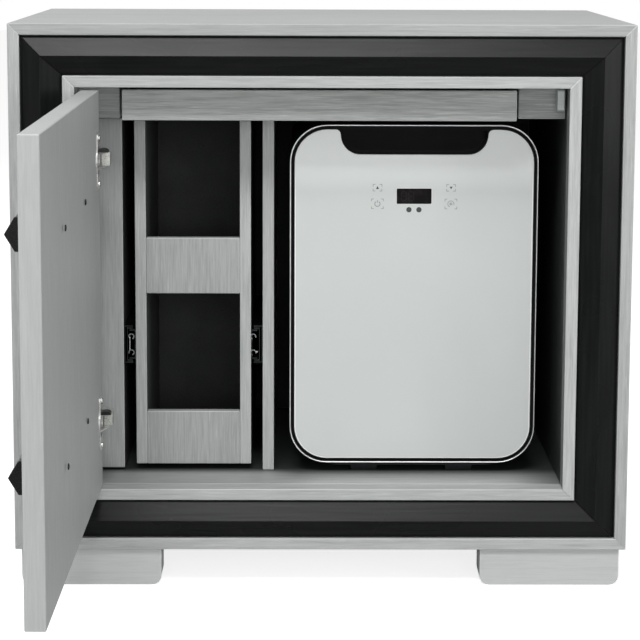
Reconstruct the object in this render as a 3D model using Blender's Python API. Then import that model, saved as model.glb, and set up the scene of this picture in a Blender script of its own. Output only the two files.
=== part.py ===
"""Nightstand with a hinged door, a pull-out bottle rack, a shallow tray and a small cooler.

Metres, +Z up, the front faces -Y. The pieces are modelled in the cabinet's own frame: X from
its middle, Y backwards from the front plane of the outer boards, Z up from the floor. The
cabinet frame is an empty, moved so that the world origin lies on the floor under the middle of
the whole piece with its door open, as it rests here.
"""
import math

import bmesh
import bpy
from mathutils import Matrix, Vector

# Whole cabinet: its width, height and depth follow from what it holds
BOARD_THICK = 0.013
BACK_THICK = 0.006

# Clearances and finishes shared by all pieces
SEAT_GAP = 0.0003
MITRE_GAP = 0.0004
RUN_GAP = 0.0004
CUT_OVERRUN = 0.004
EDGE_ROUND = 0.0008
SMALL_ROUND = 0.0004

# Feet
FOOT_HEIGHT = 0.043
FOOT_WIDTH = 0.160
FOOT_DEPTH = 0.045
FOOT_INSET_SIDE = 0.007
FOOT_INSET_FRONT = 0.005
FOOT_CORNER = 0.011

# Black moulding with a ridge along its middle
MOULD_STILE = 0.0468
MOULD_RAIL = 0.0444
MOULD_EDGE_SET = 0.004
MOULD_RIDGE_PROUD = 0.0085
MOULD_GROOVE_WIDTH = 0.0012
MOULD_GROOVE_DEPTH = 0.004

# Inner face frame
FRAME_STILE = 0.0134
FRAME_RAIL = 0.0129
FRAME_DEPTH = 0.026

# Bay boards
BAY_THICK = 0.013
BAY_SETBACK = 0.092
DIVIDER_THICK = 0.013
FILLER_WIDTH = 0.0454
FILLER_THICK = 0.013
FILLER_FLOOR_GAP = 0.0018
VENT_WIDTH = 0.200
VENT_HEIGHT = 0.240
VENT_CORNER = 0.015
VENT_ABOVE_FLOOR = 0.060

# Door
DOOR_GAP = 0.0025
DOOR_GAP_TOP = 0.0035
DOOR_THICK = 0.020
DOOR_SETBACK = 0.002
DOOR_OPEN_DEG = 90.4
PIVOT_FROM_EDGE = 0.0064
PIVOT_BEHIND_FACE = 0.0027

# Bar handles on the door
HANDLE_LENGTH = 0.301
HANDLE_HEIGHT = 0.033
HANDLE_FLAT = 0.0195
HANDLE_REACH = 0.0295
HANDLE_BELOW_TOP = 0.1056
HANDLE_ABOVE_BOTTOM = 0.1121

# Concealed hinges
HINGE_FROM_END = 0.0775
CUP_RADIUS = 0.0172
CUP_WALL = 0.0011
CUP_DEPTH = 0.0125
CUP_FROM_EDGE = 0.024
CUP_FLANGE_LENGTH = 0.062
CUP_FLANGE_WIDTH = 0.022
CUP_FLANGE_THICK = 0.0015
CUP_FLANGE_CORNER = 0.006
CHEEK_THICK = 0.002
CHEEK_LENGTH = 0.017
CHEEK_PAST_EDGE = 0.0021
CHEEK_RISE = 0.0075
CHEEK_TIP = 0.010
ARM_WIDTH = 0.015
ARM_THICK = 0.011
ARM_CUP_GAP = 0.0004
ARM_DOOR_GAP = 0.0004
ARM_TIP_THICK = 0.0115
ARM_TIP_LENGTH = 0.012
ARM_TIP_CUT = 0.0022
ARM_CRANK_LENGTH = 0.012
ARM_REAR_GAP = 0.008
PLATE_THICK = 0.003
PLATE_LENGTH = 0.044
PLATE_HEIGHT = 0.050
PLATE_CORNER = 0.006

# Tray and the rails beside it
TRAY_SETBACK = 0.027
TRAY_FRONT_THICK = 0.0127
TRAY_FRONT_HEIGHT = 0.0344
TRAY_TOP_GAP = 0.0044
TRAY_SIDE_GAP = 0.003
TRAY_BOX_DEPTH = 0.240
TRAY_BOX_LIFT = 0.0033
TRAY_BOX_DROP = 0.0051
TRAY_BOX_INSET = 0.0005
TRAY_WALL = 0.010
TRAY_BASE = 0.005
TRAY_CLEAR_BELOW = 0.003
RAIL_LEFT_WIDTH = 0.0478
RAIL_RIGHT_WIDTH = 0.0536
RAIL_LIFT = 0.0018
RAIL_PAST_BOX = 0.022
RUNNER_HEIGHT = 0.008
RUNNER_BITE = 0.0045
RUNNER_SETBACK = 0.012

# Catch at the top right, in front of the right rail
CATCH_WIDTH = 0.008
CATCH_HEIGHT = 0.025
CATCH_FROM_WALL = 0.0034
CATCH_BELOW_CEILING = 0.0023
CATCH_DOOR_GAP = 0.0006
CATCH_LIP = 0.002

# Rack
RACK_SETBACK = 0.095
RACK_WIDTH = 0.135
RACK_DEPTH = 0.230
RACK_FLOOR_GAP = 0.007
RACK_TOP_GAP = 0.0028
RACK_BOARD = 0.0127
RACK_FRONT_THICK = 0.012
RACK_FLOOR_THICK = 0.009
RACK_BACK_THICK = 0.006
RACK_LOWER_FRONT = 0.0635
RACK_UPPER_FRONT = 0.0655

# Ball-bearing slides beside the rack: outer, middle and inner member
SLIDE_WEB = 0.0012
SLIDE_FLANGE = 0.002
RACK_SLIDE_THICK = 0.0133
RACK_SLIDE_HEIGHT = 0.045
RACK_SLIDE_INSET = 0.0025
RACK_SLIDE_ABOVE_BOTTOM = 0.1431
RACK_OUTER_DEPTH = 0.0105
RACK_MIDDLE_START = 0.003
RACK_MIDDLE_DEPTH = 0.007
RACK_INNER_DEPTH = 0.0073

# Cooler, in its own frame: X from its middle, Y backwards from its front, Z up from the bay floor
COOLER_LEFT_GAP = 0.0185
COOLER_RIGHT_GAP = 0.0247
COOLER_TOP_GAP = 0.0091
COOLER_REAR_GAP = 0.0339
COOLER_SETBACK = 0.083
COOLER_WIDTH = 0.288
COOLER_HEIGHT = 0.399
COOLER_CORNER = 0.0437
COOLER_LIFT = 0.0113
COOLER_DOOR_DEPTH = 0.036
RING_WIDTH = 0.002
RING_DEPTH = 0.007
BAND_SET = 0.0006
GLASS_INSET = 0.0056
GLASS_THICK = 0.003
GLASS_SET = 0.0001
NOTCH_FROM_EDGE = 0.0531
NOTCH_LIP = 0.006
NOTCH_DEPTH = 0.0289
FINGER_DEPTH = 0.021
FINGER_INSET = 0.0015
DISPLAY_WIDTH = 0.0404
DISPLAY_HEIGHT = 0.018
DISPLAY_BELOW_TOP = 0.0829
DISPLAY_SET = 0.0004
DISPLAY_CORNER = 0.001

# Cooler seal, housing and liner
SEAL_PAST_CAVITY = 0.0075
SEAL_WIDTH = 0.010
SEAL_DEPTH = 0.0072
LINER_THICK = 0.0025
LINER_FLANGE = 0.008
LINER_FLANGE_THICK = 0.002
HOUSING_INSET = 0.001
WALL_SIDE = 0.029
WALL_TOP = 0.031
WALL_REAR = 0.021
CAVITY_DEPTH = 0.215
CAVITY_CORNER = 0.020
LEDGE_THICK = 0.003
LEDGE_REACH = 0.004
LEDGE_ABOVE_MIDDLE = 0.010
SHELF_REAR_GAP = 0.013
SHELF_THICK = 0.004
SHELF_LIP = 0.010
SHELF_SIDE_GAP = 0.0006
SHELF_FROM_FRONT = 0.012
SHELF_SLOTS = 9
SHELF_SLOT_WIDTH = 0.012
SHELF_MARGIN = 0.016

# Cooler rear: chamber with the fan, grille cover, power inlet
CHAMBER_WIDTH = 0.200
CHAMBER_HEIGHT = 0.230
CHAMBER_DEPTH = 0.045
CHAMBER_CORNER = 0.012
CHAMBER_ABOVE_MIDDLE = 0.030
COVER_THICK = 0.003
COVER_LAP = 0.004
GRILLE_PAST_FAN = 0.002
GRILLE_EDGE = 0.006
GRILLE_SLOT = 0.0042
GRILLE_SLOTS = 11
INTAKE_SLOTS = 15
INTAKE_LENGTH = 0.034
INTAKE_BELOW_FAN = 0.085
FAN_RADIUS = 0.044
FAN_HUB_RADIUS = 0.018
FAN_HUB_DEPTH = 0.016
FAN_BLADES = 7
FAN_BLADE_THICK = 0.0016
FAN_ROOT_SINK = 0.003
FAN_ROOT_DEG = 38.0
FAN_TIP_DEG = 24.0
FAN_CHORD_ROOT = 0.018
FAN_CHORD_TIP = 0.024
FAN_RING_SET = 0.012
AXLE_RADIUS = 0.004
AXLE_BITE = 0.010
INLET_WIDTH = 0.034
INLET_HEIGHT = 0.024
INLET_DEPTH = 0.018
INLET_CORNER = 0.003
INLET_RIM = 0.003
INLET_RIM_THICK = 0.002
INLET_WELL_WIDTH = 0.020
INLET_WELL_HEIGHT = 0.009
INLET_WELL_DEPTH = 0.013
INLET_PIN_RADIUS = 0.0012
INLET_PIN_LENGTH = 0.009
INLET_PIN_PITCH = 0.0096
INLET_X = 0.070
INLET_BELOW_MIDDLE = 0.140

# Cooler base and hinge lugs
BASE_WIDTH = 0.202
BASE_SET = 0.014
BASE_REAR_SET = 0.014
BASE_THICK = 0.005
BASE_CORNER = 0.012
PAD_WIDTH = 0.033
PAD_DEPTH = 0.026
PAD_SPACING = 0.112
PAD_TAPER = 0.0015
LUG_FROM_EDGE = 0.0135
LUG_Y = 0.017
LUG_FROM_END = 0.0615
LUG_HALF_WIDTH = 0.006
LUG_HEIGHT = 0.010
LUG_ROOT = 0.003
LUG_PIN_RADIUS = 0.0025
LUG_PIN_REACH = 0.006
LUG_NOTCH_SIDE = 0.0015
LUG_NOTCH_FRONT = 0.0085

# Counts of steps on curves
CORNER_STEPS = 10
SMALL_STEPS = 4
ROUND_STEPS = 40
PIN_STEPS = 12
BLADE_STEPS = 5

# The ridge's place across the moulding, and the upper tier's place up the rack
RIDGE_SHARE = 0.5
TIER_SHARE = 0.5015

# Places across the cooler
COOLER_MIDDLE = COOLER_LIFT + COOLER_HEIGHT / 2
CAVITY_WIDTH = COOLER_WIDTH - 2 * WALL_SIDE
CAVITY_HEIGHT = COOLER_HEIGHT - 2 * WALL_TOP
GLASS_HALF_X = COOLER_WIDTH / 2 - GLASS_INSET
GLASS_HALF_Z = COOLER_HEIGHT / 2 - GLASS_INSET
GLASS_CORNER = COOLER_CORNER - GLASS_INSET
GLASS_SEAT = GLASS_SET + GLASS_THICK + SEAT_GAP
NOTCH_HALF = GLASS_HALF_X - NOTCH_FROM_EDGE
LUG_X = COOLER_WIDTH / 2 - LUG_FROM_EDGE
LUG_HEIGHTS = (COOLER_LIFT + LUG_FROM_END, COOLER_LIFT + COOLER_HEIGHT - LUG_FROM_END)
BASE_HIGH = COOLER_LIFT - RUN_GAP - SEAT_GAP

# Places through the cooler's depth
SEAL_START = COOLER_DOOR_DEPTH + SEAT_GAP
FLANGE_START = SEAL_START + SEAL_DEPTH + SEAT_GAP
HOUSING_START = FLANGE_START + LINER_FLANGE_THICK + SEAT_GAP
CAVITY_END = HOUSING_START + CAVITY_DEPTH
CHAMBER_START = CAVITY_END + WALL_REAR
HOUSING_END = CHAMBER_START + CHAMBER_DEPTH
COVER_START = HOUSING_END - COVER_THICK
CHAMBER_MIDDLE = COOLER_MIDDLE + CHAMBER_ABOVE_MIDDLE
FAN_START = COVER_START - FAN_RING_SET - FAN_HUB_DEPTH
GRILLE_RADIUS = FAN_RADIUS + GRILLE_PAST_FAN
GRILLE_PITCH = 2 * (GRILLE_RADIUS - GRILLE_EDGE) / (GRILLE_SLOTS - 1)
INLET_MIDDLE = COOLER_MIDDLE - INLET_BELOW_MIDDLE
SHELF_FRONT = HOUSING_START + SHELF_FROM_FRONT
SHELF_DEPTH = CAVITY_DEPTH - SHELF_FROM_FRONT - SHELF_REAR_GAP

# The opening, round the rack, the cooler and the tray, and the body round the opening
RACK_SLIDE_ROOM = RACK_SLIDE_THICK + 2 * SEAT_GAP
LEFT_BAY = FILLER_WIDTH + RACK_WIDTH + 2 * RACK_SLIDE_ROOM
RIGHT_BAY = COOLER_LEFT_GAP + COOLER_WIDTH + COOLER_RIGHT_GAP
OPEN_WIDTH = LEFT_BAY + DIVIDER_THICK + RIGHT_BAY
OPEN_HEIGHT = COOLER_LIFT + COOLER_HEIGHT + COOLER_TOP_GAP + TRAY_FRONT_HEIGHT + TRAY_TOP_GAP
RIM_STILE = FRAME_STILE + SEAT_GAP + MOULD_STILE + SEAT_GAP + BOARD_THICK
RIM_RAIL = FRAME_RAIL + SEAT_GAP + MOULD_RAIL + SEAT_GAP + BOARD_THICK
BODY_WIDTH = OPEN_WIDTH + 2 * RIM_STILE
BODY_HEIGHT = OPEN_HEIGHT + 2 * RIM_RAIL
BODY_DEPTH = COOLER_SETBACK + HOUSING_END + COOLER_REAR_GAP + BACK_THICK

# Places across the cabinet
HALF_WIDTH = BODY_WIDTH / 2
BODY_LOW = FOOT_HEIGHT
BODY_HIGH = FOOT_HEIGHT + BODY_HEIGHT
MOULD_OUT_X = HALF_WIDTH - BOARD_THICK - SEAT_GAP
MOULD_LOW = BODY_LOW + BOARD_THICK + SEAT_GAP
MOULD_HIGH = BODY_HIGH - BOARD_THICK - SEAT_GAP
FRAME_OUT_X = MOULD_OUT_X - MOULD_STILE - SEAT_GAP
FRAME_LOW = MOULD_LOW + MOULD_RAIL + SEAT_GAP
FRAME_HIGH = MOULD_HIGH - MOULD_RAIL - SEAT_GAP
OPEN_X = OPEN_WIDTH / 2
OPEN_LOW = FRAME_LOW + FRAME_RAIL
OPEN_HIGH = FRAME_HIGH - FRAME_RAIL
BAY_FRONT = FRAME_DEPTH + SEAT_GAP
BACK_FRONT = BODY_DEPTH - BACK_THICK
BAY_REAR = BACK_FRONT - SEAT_GAP
FILLER_EDGE_X = -OPEN_X + FILLER_WIDTH
DIVIDER_LEFT_X = -OPEN_X + LEFT_BAY
DIVIDER_RIGHT_X = DIVIDER_LEFT_X + DIVIDER_THICK
COOLER_X = DIVIDER_RIGHT_X + COOLER_LEFT_GAP + COOLER_WIDTH / 2

# Tray and rails
TRAY_BOTTOM = OPEN_HIGH - TRAY_TOP_GAP - TRAY_FRONT_HEIGHT
UNDER_TRAY = TRAY_BOTTOM - TRAY_CLEAR_BELOW
RAIL_SETBACK = TRAY_SETBACK + TRAY_FRONT_THICK + SEAT_GAP
RAIL_LOW = TRAY_BOTTOM + RAIL_LIFT
RAIL_DEPTH = TRAY_BOX_DEPTH + RAIL_PAST_BOX
RAIL_FACES = (-OPEN_X + RAIL_LEFT_WIDTH, OPEN_X - RAIL_RIGHT_WIDTH)
TRAY_LEFT_X = RAIL_FACES[0] + TRAY_SIDE_GAP
TRAY_RIGHT_X = RAIL_FACES[1] - TRAY_SIDE_GAP
TRAY_BOX_X = (TRAY_LEFT_X + TRAY_BOX_INSET, TRAY_RIGHT_X - TRAY_BOX_INSET)
TRAY_BOX_LOW = TRAY_BOTTOM + TRAY_BOX_LIFT
TRAY_BOX_HEIGHT = TRAY_FRONT_HEIGHT - TRAY_BOX_LIFT - TRAY_BOX_DROP
RUNNER_Z = TRAY_BOX_LOW + TRAY_BOX_HEIGHT / 2
RUNNER_TIPS = (TRAY_BOX_X[0] + RUNNER_BITE, TRAY_BOX_X[1] - RUNNER_BITE)
RUNNER_START = RAIL_SETBACK + RUNNER_SETBACK

# Rack
RACK_X = (FILLER_EDGE_X + RACK_SLIDE_ROOM, DIVIDER_LEFT_X - RACK_SLIDE_ROOM)
RACK_INNER_X = (RACK_X[0] + RACK_BOARD + SEAT_GAP, RACK_X[1] - RACK_BOARD - SEAT_GAP)
RACK_BOTTOM = OPEN_LOW + RACK_FLOOR_GAP
RACK_TOP = UNDER_TRAY - RACK_TOP_GAP
RACK_UPPER_BOTTOM = RACK_BOTTOM + (RACK_TOP - RACK_BOTTOM) * TIER_SHARE
RACK_SLIDE_START = RACK_SETBACK + RACK_SLIDE_INSET
RACK_SLIDE_LENGTH = RACK_DEPTH - 2 * RACK_SLIDE_INSET
RACK_SLIDE_Z = RACK_BOTTOM + RACK_SLIDE_ABOVE_BOTTOM

# Door
DOOR_X = OPEN_X - DOOR_GAP
DOOR_LOW = OPEN_LOW + DOOR_GAP
DOOR_HIGH = OPEN_HIGH - DOOR_GAP_TOP
DOOR_INNER = DOOR_SETBACK + DOOR_THICK
PIVOT_X = -DOOR_X + PIVOT_FROM_EDGE
PIVOT_Y = DOOR_SETBACK + PIVOT_BEHIND_FACE
DOOR_PAST_X = -DOOR_X - CHEEK_PAST_EDGE
HINGE_HEIGHTS = {"upper": DOOR_HIGH - HINGE_FROM_END, "lower": DOOR_LOW + HINGE_FROM_END}
HANDLE_HEIGHTS = {"upper": DOOR_HIGH - HANDLE_BELOW_TOP, "lower": DOOR_LOW + HANDLE_ABOVE_BOTTOM}

ARM_SET_FRONT = DOOR_INNER - CUP_DEPTH + CUP_WALL + ARM_CUP_GAP
ARM_TIP_LEFT_X = PIVOT_X + DOOR_INNER - PIVOT_Y + ARM_DOOR_GAP
ARM_REAR = BAY_SETBACK - ARM_REAR_GAP


def door_reach():
    """How far the open door stands out in front of the cabinet's front plane."""
    corner = Vector((DOOR_X - PIVOT_X, DOOR_INNER - PIVOT_Y, 0))
    turned = Matrix.Rotation(-math.radians(DOOR_OPEN_DEG), 3, "Z") @ corner
    return -(turned.y + PIVOT_Y)


# The world origin is under the middle of the piece as it rests, with the door open
FRONT_Y = (door_reach() - BODY_DEPTH) / 2

# Each finish: base colour, roughness, metallic
FINISHES = {
    "grey_wood": ((0.46, 0.47, 0.465), 0.55, 0.0),
    "black_gloss": ((0.012, 0.012, 0.013), 0.25, 0.0),
    "black_matt": ((0.02, 0.02, 0.021), 0.6, 0.0),
    "steel": ((0.62, 0.61, 0.58), 0.32, 0.9),
    "bright_trim": ((0.82, 0.83, 0.83), 0.18, 1.0),
    "pale_glass": ((0.60, 0.62, 0.61), 0.12, 0.0),
    "white_plastic": ((0.80, 0.81, 0.80), 0.4, 0.0),
    "rubber": ((0.10, 0.10, 0.10), 0.8, 0.0),
}


def clear_scene():
    """Remove the objects and meshes that a fresh Blender starts with."""
    for old in list(bpy.data.objects):
        bpy.data.objects.remove(old, do_unlink=True)


def finish_for(name, kind):
    """A material of the piece's own, in one of the finishes."""
    colour, roughness, metallic = FINISHES[kind]
    made = bpy.data.materials.new(name + "_finish")
    made.use_nodes = True
    shader = made.node_tree.nodes["Principled BSDF"]
    shader.inputs["Base Color"].default_value = (*colour, 1)
    shader.inputs["Roughness"].default_value = roughness
    shader.inputs["Metallic"].default_value = metallic
    made.diffuse_color = (*colour, 1)
    return made


def add_empty(name, place, parent=None, turn_deg=0):
    """An empty that carries a group of pieces; for a moving group it sits on the joint's axis."""
    empty = bpy.data.objects.new(name, None)
    bpy.context.scene.collection.objects.link(empty)
    empty.location = place
    empty.rotation_euler = (0, 0, math.radians(turn_deg))
    empty.parent = parent
    return empty


def add_piece(name, shape, kind, parent, place=(0, 0, 0), smooth_deg=None):
    """An object from a bmesh, on its carrier, with its finish."""
    bmesh.ops.recalc_face_normals(shape, faces=shape.faces)
    mesh = bpy.data.meshes.new(name)
    shape.to_mesh(mesh)
    shape.free()
    if smooth_deg is not None:
        mesh.shade_smooth()
        mesh.set_sharp_from_angle(angle=math.radians(smooth_deg))
    piece = bpy.data.objects.new(name, mesh)
    bpy.context.scene.collection.objects.link(piece)
    piece.location = place
    piece.parent = parent
    mesh.materials.append(finish_for(name, kind))
    return piece


def soften(piece, width, segments=1, limit_deg=35):
    """A small bevel on the sharp edges."""
    bevel = piece.modifiers.new("edges", "BEVEL")
    bevel.width = width
    bevel.segments = segments
    bevel.limit_method = "ANGLE"
    bevel.angle_limit = math.radians(limit_deg)
    return piece


def combine(piece, tool, operation):
    """Cut the tool out of a piece, or join it on, with an exact Boolean."""
    tool.hide_render = True
    tool.display_type = "WIRE"
    modifier = piece.modifiers.new(tool.name, "BOOLEAN")
    modifier.operation = operation
    modifier.solver = "EXACT"
    modifier.object = tool
    return piece


def cut(piece, shape, place=(0, 0, 0)):
    """Cut a shape, given in the piece's carrier's frame, out of the piece."""
    name = piece.name + "_cut_" + str(len(piece.modifiers))
    return combine(piece, add_piece(name, shape, "black_matt", piece.parent, place), "DIFFERENCE")


def weld(piece, shape, place=(0, 0, 0)):
    """Join a shape, given in the piece's carrier's frame, to the piece."""
    name = piece.name + "_add_" + str(len(piece.modifiers))
    return combine(piece, add_piece(name, shape, "black_matt", piece.parent, place), "UNION")


def box_shape(low, high):
    """A box between two corners."""
    low = Vector(low)
    high = Vector(high)
    shape = bmesh.new()
    matrix = Matrix.Translation((low + high) / 2) @ Matrix.Diagonal((*(high - low), 1))
    bmesh.ops.create_cube(shape, size=1, matrix=matrix)
    return shape


def board(name, low, high, parent, kind="grey_wood", edge=EDGE_ROUND):
    """A board between two corners of its carrier's frame, with eased edges, about its middle."""
    low = Vector(low)
    high = Vector(high)
    middle = (low + high) / 2
    piece = add_piece(name, box_shape(low - middle, high - middle), kind, parent, middle)
    return soften(piece, edge)


def loft(loops):
    """A closed solid through loops of the same number of points, with flat ends."""
    shape = bmesh.new()
    rings = [[shape.verts.new(point) for point in loop] for loop in loops]
    shape.faces.new(rings[0][::-1])
    shape.faces.new(rings[-1])
    for first, second in zip(rings, rings[1:]):
        count = len(first)
        for i in range(count):
            shape.faces.new((first[i], first[(i + 1) % count], second[(i + 1) % count], second[i]))
    return shape


def prism_y(outline, front, rear):
    """An outline of (x, z) points drawn out from front to rear along Y."""
    return loft([[(x, y, z) for x, z in outline] for y in (front, rear)])


def prism_z(outline, low, high):
    """An outline of (x, y) points drawn up from low to high along Z."""
    return loft([[(x, y, z) for x, y in outline] for z in (low, high)])


def prism_x(outline, left, right):
    """An outline of (y, z) points drawn out from left to right along X."""
    return loft([[(x, y, z) for y, z in outline] for x in (left, right)])


def arc(middle, radius, start_deg, end_deg, steps):
    """Points on an arc, ends included."""
    angles = [math.radians(start_deg + (end_deg - start_deg) * i / steps) for i in range(steps + 1)]
    return [(middle[0] + radius * math.cos(a), middle[1] + radius * math.sin(a)) for a in angles]


def circle(middle, radius, steps):
    """Points on a whole circle, the first one not repeated."""
    return arc(middle, radius, 0, 360, steps)[:-1]


def rounded_rectangle(half_u, half_v, corner, steps, middle=(0, 0)):
    """A rectangle with round corners."""
    points = []
    for sign_u, sign_v, start_deg in ((1, -1, -90), (1, 1, 0), (-1, 1, 90), (-1, -1, 180)):
        centre = (middle[0] + sign_u * (half_u - corner), middle[1] + sign_v * (half_v - corner))
        points += arc(centre, corner, start_deg, start_deg + 90, steps)
    return points


def merge_shapes(shapes):
    """Several separate solids as one mesh."""
    whole = bmesh.new()
    for shape in shapes:
        part = bpy.data.meshes.new("part")
        shape.to_mesh(part)
        shape.free()
        whole.from_mesh(part)
        bpy.data.meshes.remove(part)
    return whole


def mitred_ring(stem, half_x, low, high, stile, rail, profile, kind, edge, parent):
    """Four mitred pieces round an opening. The profile's points are (share across, depth)."""
    def across_x(share):
        return half_x - share * stile

    def rail_loops(z_outer, sign):
        z_of = [z_outer - sign * share * rail for share, _ in profile]
        ends = [across_x(share) - MITRE_GAP / 2 for share, _ in profile]
        return [
            [(side * end, depth, z) for (_, depth), end, z in zip(profile, ends, z_of)]
            for side in (-1, 1)
        ]

    def stile_loops(side):
        inset = [share * rail + MITRE_GAP / 2 for share, _ in profile]
        bottom = [(side * across_x(s), d, low + i) for (s, d), i in zip(profile, inset)]
        top = [(side * across_x(s), d, high - i) for (s, d), i in zip(profile, inset)]
        return [bottom, top]

    for place, loops in (
        ("top", rail_loops(high, 1)),
        ("bottom", rail_loops(low, -1)),
        ("left", stile_loops(-1)),
        ("right", stile_loops(1)),
    ):
        name = stem.format(place)
        soften(add_piece(name, loft(loops), kind, parent), edge)


def build_case(cabinet):
    """Outer boards, moulding, face frame, bay boards and back panel."""
    square = [(0, 0), (1, 0), (1, BODY_DEPTH), (0, BODY_DEPTH)]
    mitred_ring("{}_panel", HALF_WIDTH, BODY_LOW, BODY_HIGH, BOARD_THICK, BOARD_THICK,
                square, "grey_wood", EDGE_ROUND, cabinet)

    groove_share = MOULD_GROOVE_WIDTH / MOULD_STILE
    groove = MOULD_EDGE_SET + MOULD_GROOVE_DEPTH
    ridge = [
        (0, FRAME_DEPTH), (0, groove), (groove_share, groove), (groove_share, MOULD_EDGE_SET),
        (RIDGE_SHARE, -MOULD_RIDGE_PROUD),
        (1 - groove_share, MOULD_EDGE_SET), (1 - groove_share, groove), (1, groove), (1, FRAME_DEPTH),
    ]
    mitred_ring("moulding_{}", MOULD_OUT_X, MOULD_LOW, MOULD_HIGH, MOULD_STILE, MOULD_RAIL,
                ridge, "black_gloss", SMALL_ROUND / 2, cabinet)

    square = [(0, 0), (1, 0), (1, FRAME_DEPTH), (0, FRAME_DEPTH)]
    mitred_ring("face_frame_{}", FRAME_OUT_X, FRAME_LOW, FRAME_HIGH, FRAME_STILE, FRAME_RAIL,
                square, "grey_wood", EDGE_ROUND, cabinet)

    wall_x = OPEN_X + BAY_THICK
    board("bay_floor", (-wall_x, BAY_FRONT, OPEN_LOW - BAY_THICK), (wall_x, BAY_REAR, OPEN_LOW), cabinet)
    board("bay_ceiling", (-wall_x, BAY_FRONT, OPEN_HIGH), (wall_x, BAY_REAR, OPEN_HIGH + BAY_THICK), cabinet)
    for side, name in ((-1, "bay_left_wall"), (1, "bay_right_wall")):
        near, far = sorted((side * OPEN_X, side * wall_x))
        board(name, (near, BAY_FRONT, OPEN_LOW + SEAT_GAP), (far, BAY_REAR, OPEN_HIGH - SEAT_GAP), cabinet)

    back_x = HALF_WIDTH - BOARD_THICK - SEAT_GAP
    back = board("back_panel", (-back_x, BACK_FRONT, MOULD_LOW), (back_x, BODY_DEPTH, MOULD_HIGH),
                 cabinet, "black_matt", SMALL_ROUND)
    vent_middle = (COOLER_X, OPEN_LOW + VENT_ABOVE_FLOOR + VENT_HEIGHT / 2)
    vent = rounded_rectangle(VENT_WIDTH / 2, VENT_HEIGHT / 2, VENT_CORNER, SMALL_STEPS, vent_middle)
    cut(back, prism_y(vent, BACK_FRONT - CUT_OVERRUN, BODY_DEPTH + CUT_OVERRUN))


def build_feet(cabinet):
    """Four block feet with round lower corners, each about its own middle."""
    half = FOOT_WIDTH / 2
    low_left = arc((-half + FOOT_CORNER, FOOT_CORNER), FOOT_CORNER, 180, 270, SMALL_STEPS)
    low_right = arc((half - FOOT_CORNER, FOOT_CORNER), FOOT_CORNER, 270, 360, SMALL_STEPS)
    top = FOOT_HEIGHT - SEAT_GAP
    outline = low_left + low_right + [(half, top), (-half, top)]
    foot_x = HALF_WIDTH - FOOT_INSET_SIDE - half
    rows = (("front", FOOT_INSET_FRONT), ("rear", BODY_DEPTH - FOOT_INSET_FRONT - FOOT_DEPTH))
    for row, front in rows:
        for side, side_name in ((-1, "left"), (1, "right")):
            name = "foot_" + row + "_" + side_name
            place = (side * foot_x, front, 0)
            foot = add_piece(name, prism_y(outline, 0, FOOT_DEPTH), "grey_wood", cabinet, place)
            soften(foot, SMALL_ROUND)


def build_dividers(cabinet):
    """Divider, filler with its side board, and the rails and runners that carry the tray."""
    board("divider", (DIVIDER_LEFT_X, BAY_SETBACK, OPEN_LOW + SEAT_GAP),
          (DIVIDER_RIGHT_X, BAY_REAR, UNDER_TRAY), cabinet)

    wall = -OPEN_X + SEAT_GAP
    front_rear = BAY_SETBACK + FILLER_THICK
    inner = FILLER_EDGE_X - FILLER_THICK
    outline = [(wall, BAY_SETBACK), (FILLER_EDGE_X, BAY_SETBACK), (FILLER_EDGE_X, BAY_REAR),
               (inner, BAY_REAR), (inner, front_rear), (wall, front_rear)]
    filler = prism_z(outline, OPEN_LOW + FILLER_FLOOR_GAP, UNDER_TRAY)
    soften(add_piece("rack_filler", filler, "grey_wood", cabinet), EDGE_ROUND)

    rear = RAIL_SETBACK + RAIL_DEPTH
    runner_half = RUNNER_HEIGHT / 2
    for name, edge, face, tip in (
        ("tray_rail_left", wall, RAIL_FACES[0], RUNNER_TIPS[0]),
        ("tray_rail_right", -wall, RAIL_FACES[1], RUNNER_TIPS[1]),
    ):
        left, right = sorted((edge, face))
        rail = board(name, (left, RAIL_SETBACK, RAIL_LOW), (right, rear, OPEN_HIGH - SEAT_GAP), cabinet)
        left, right = sorted(((edge + face) / 2, tip))
        weld(rail, box_shape((left, RUNNER_START, RUNNER_Z - runner_half),
                             (right, rear - RUNNER_SETBACK, RUNNER_Z + runner_half)))


def build_catch(cabinet):
    """The small catch that meets the closed door, on the right rail's front."""
    right = OPEN_X - CATCH_FROM_WALL
    left = right - CATCH_WIDTH
    high = OPEN_HIGH - CATCH_BELOW_CEILING
    low = high - CATCH_HEIGHT
    front = DOOR_INNER + CATCH_DOOR_GAP
    rear = RAIL_SETBACK - SEAT_GAP
    outline = [
        (front, low + CATCH_LIP), (front + CATCH_LIP, low), (rear, low),
        (rear, high), (front + CATCH_LIP, high), (front, high - CATCH_LIP),
    ]
    catch = add_piece("catch_block", prism_x(outline, left, right), "white_plastic", cabinet)
    soften(catch, SMALL_ROUND)


def channel(web, tip, middle, height):
    """A C-shaped section: the web stands at one x, and the flanges reach to the tip's x."""
    way = 1 if tip > web else -1
    half = height / 2
    web_inside = web + way * SLIDE_WEB
    return [
        (web, middle - half), (tip, middle - half), (tip, middle - half + SLIDE_FLANGE),
        (web_inside, middle - half + SLIDE_FLANGE), (web_inside, middle + half - SLIDE_FLANGE),
        (tip, middle + half - SLIDE_FLANGE), (tip, middle + half), (web, middle + half),
    ]


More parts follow.
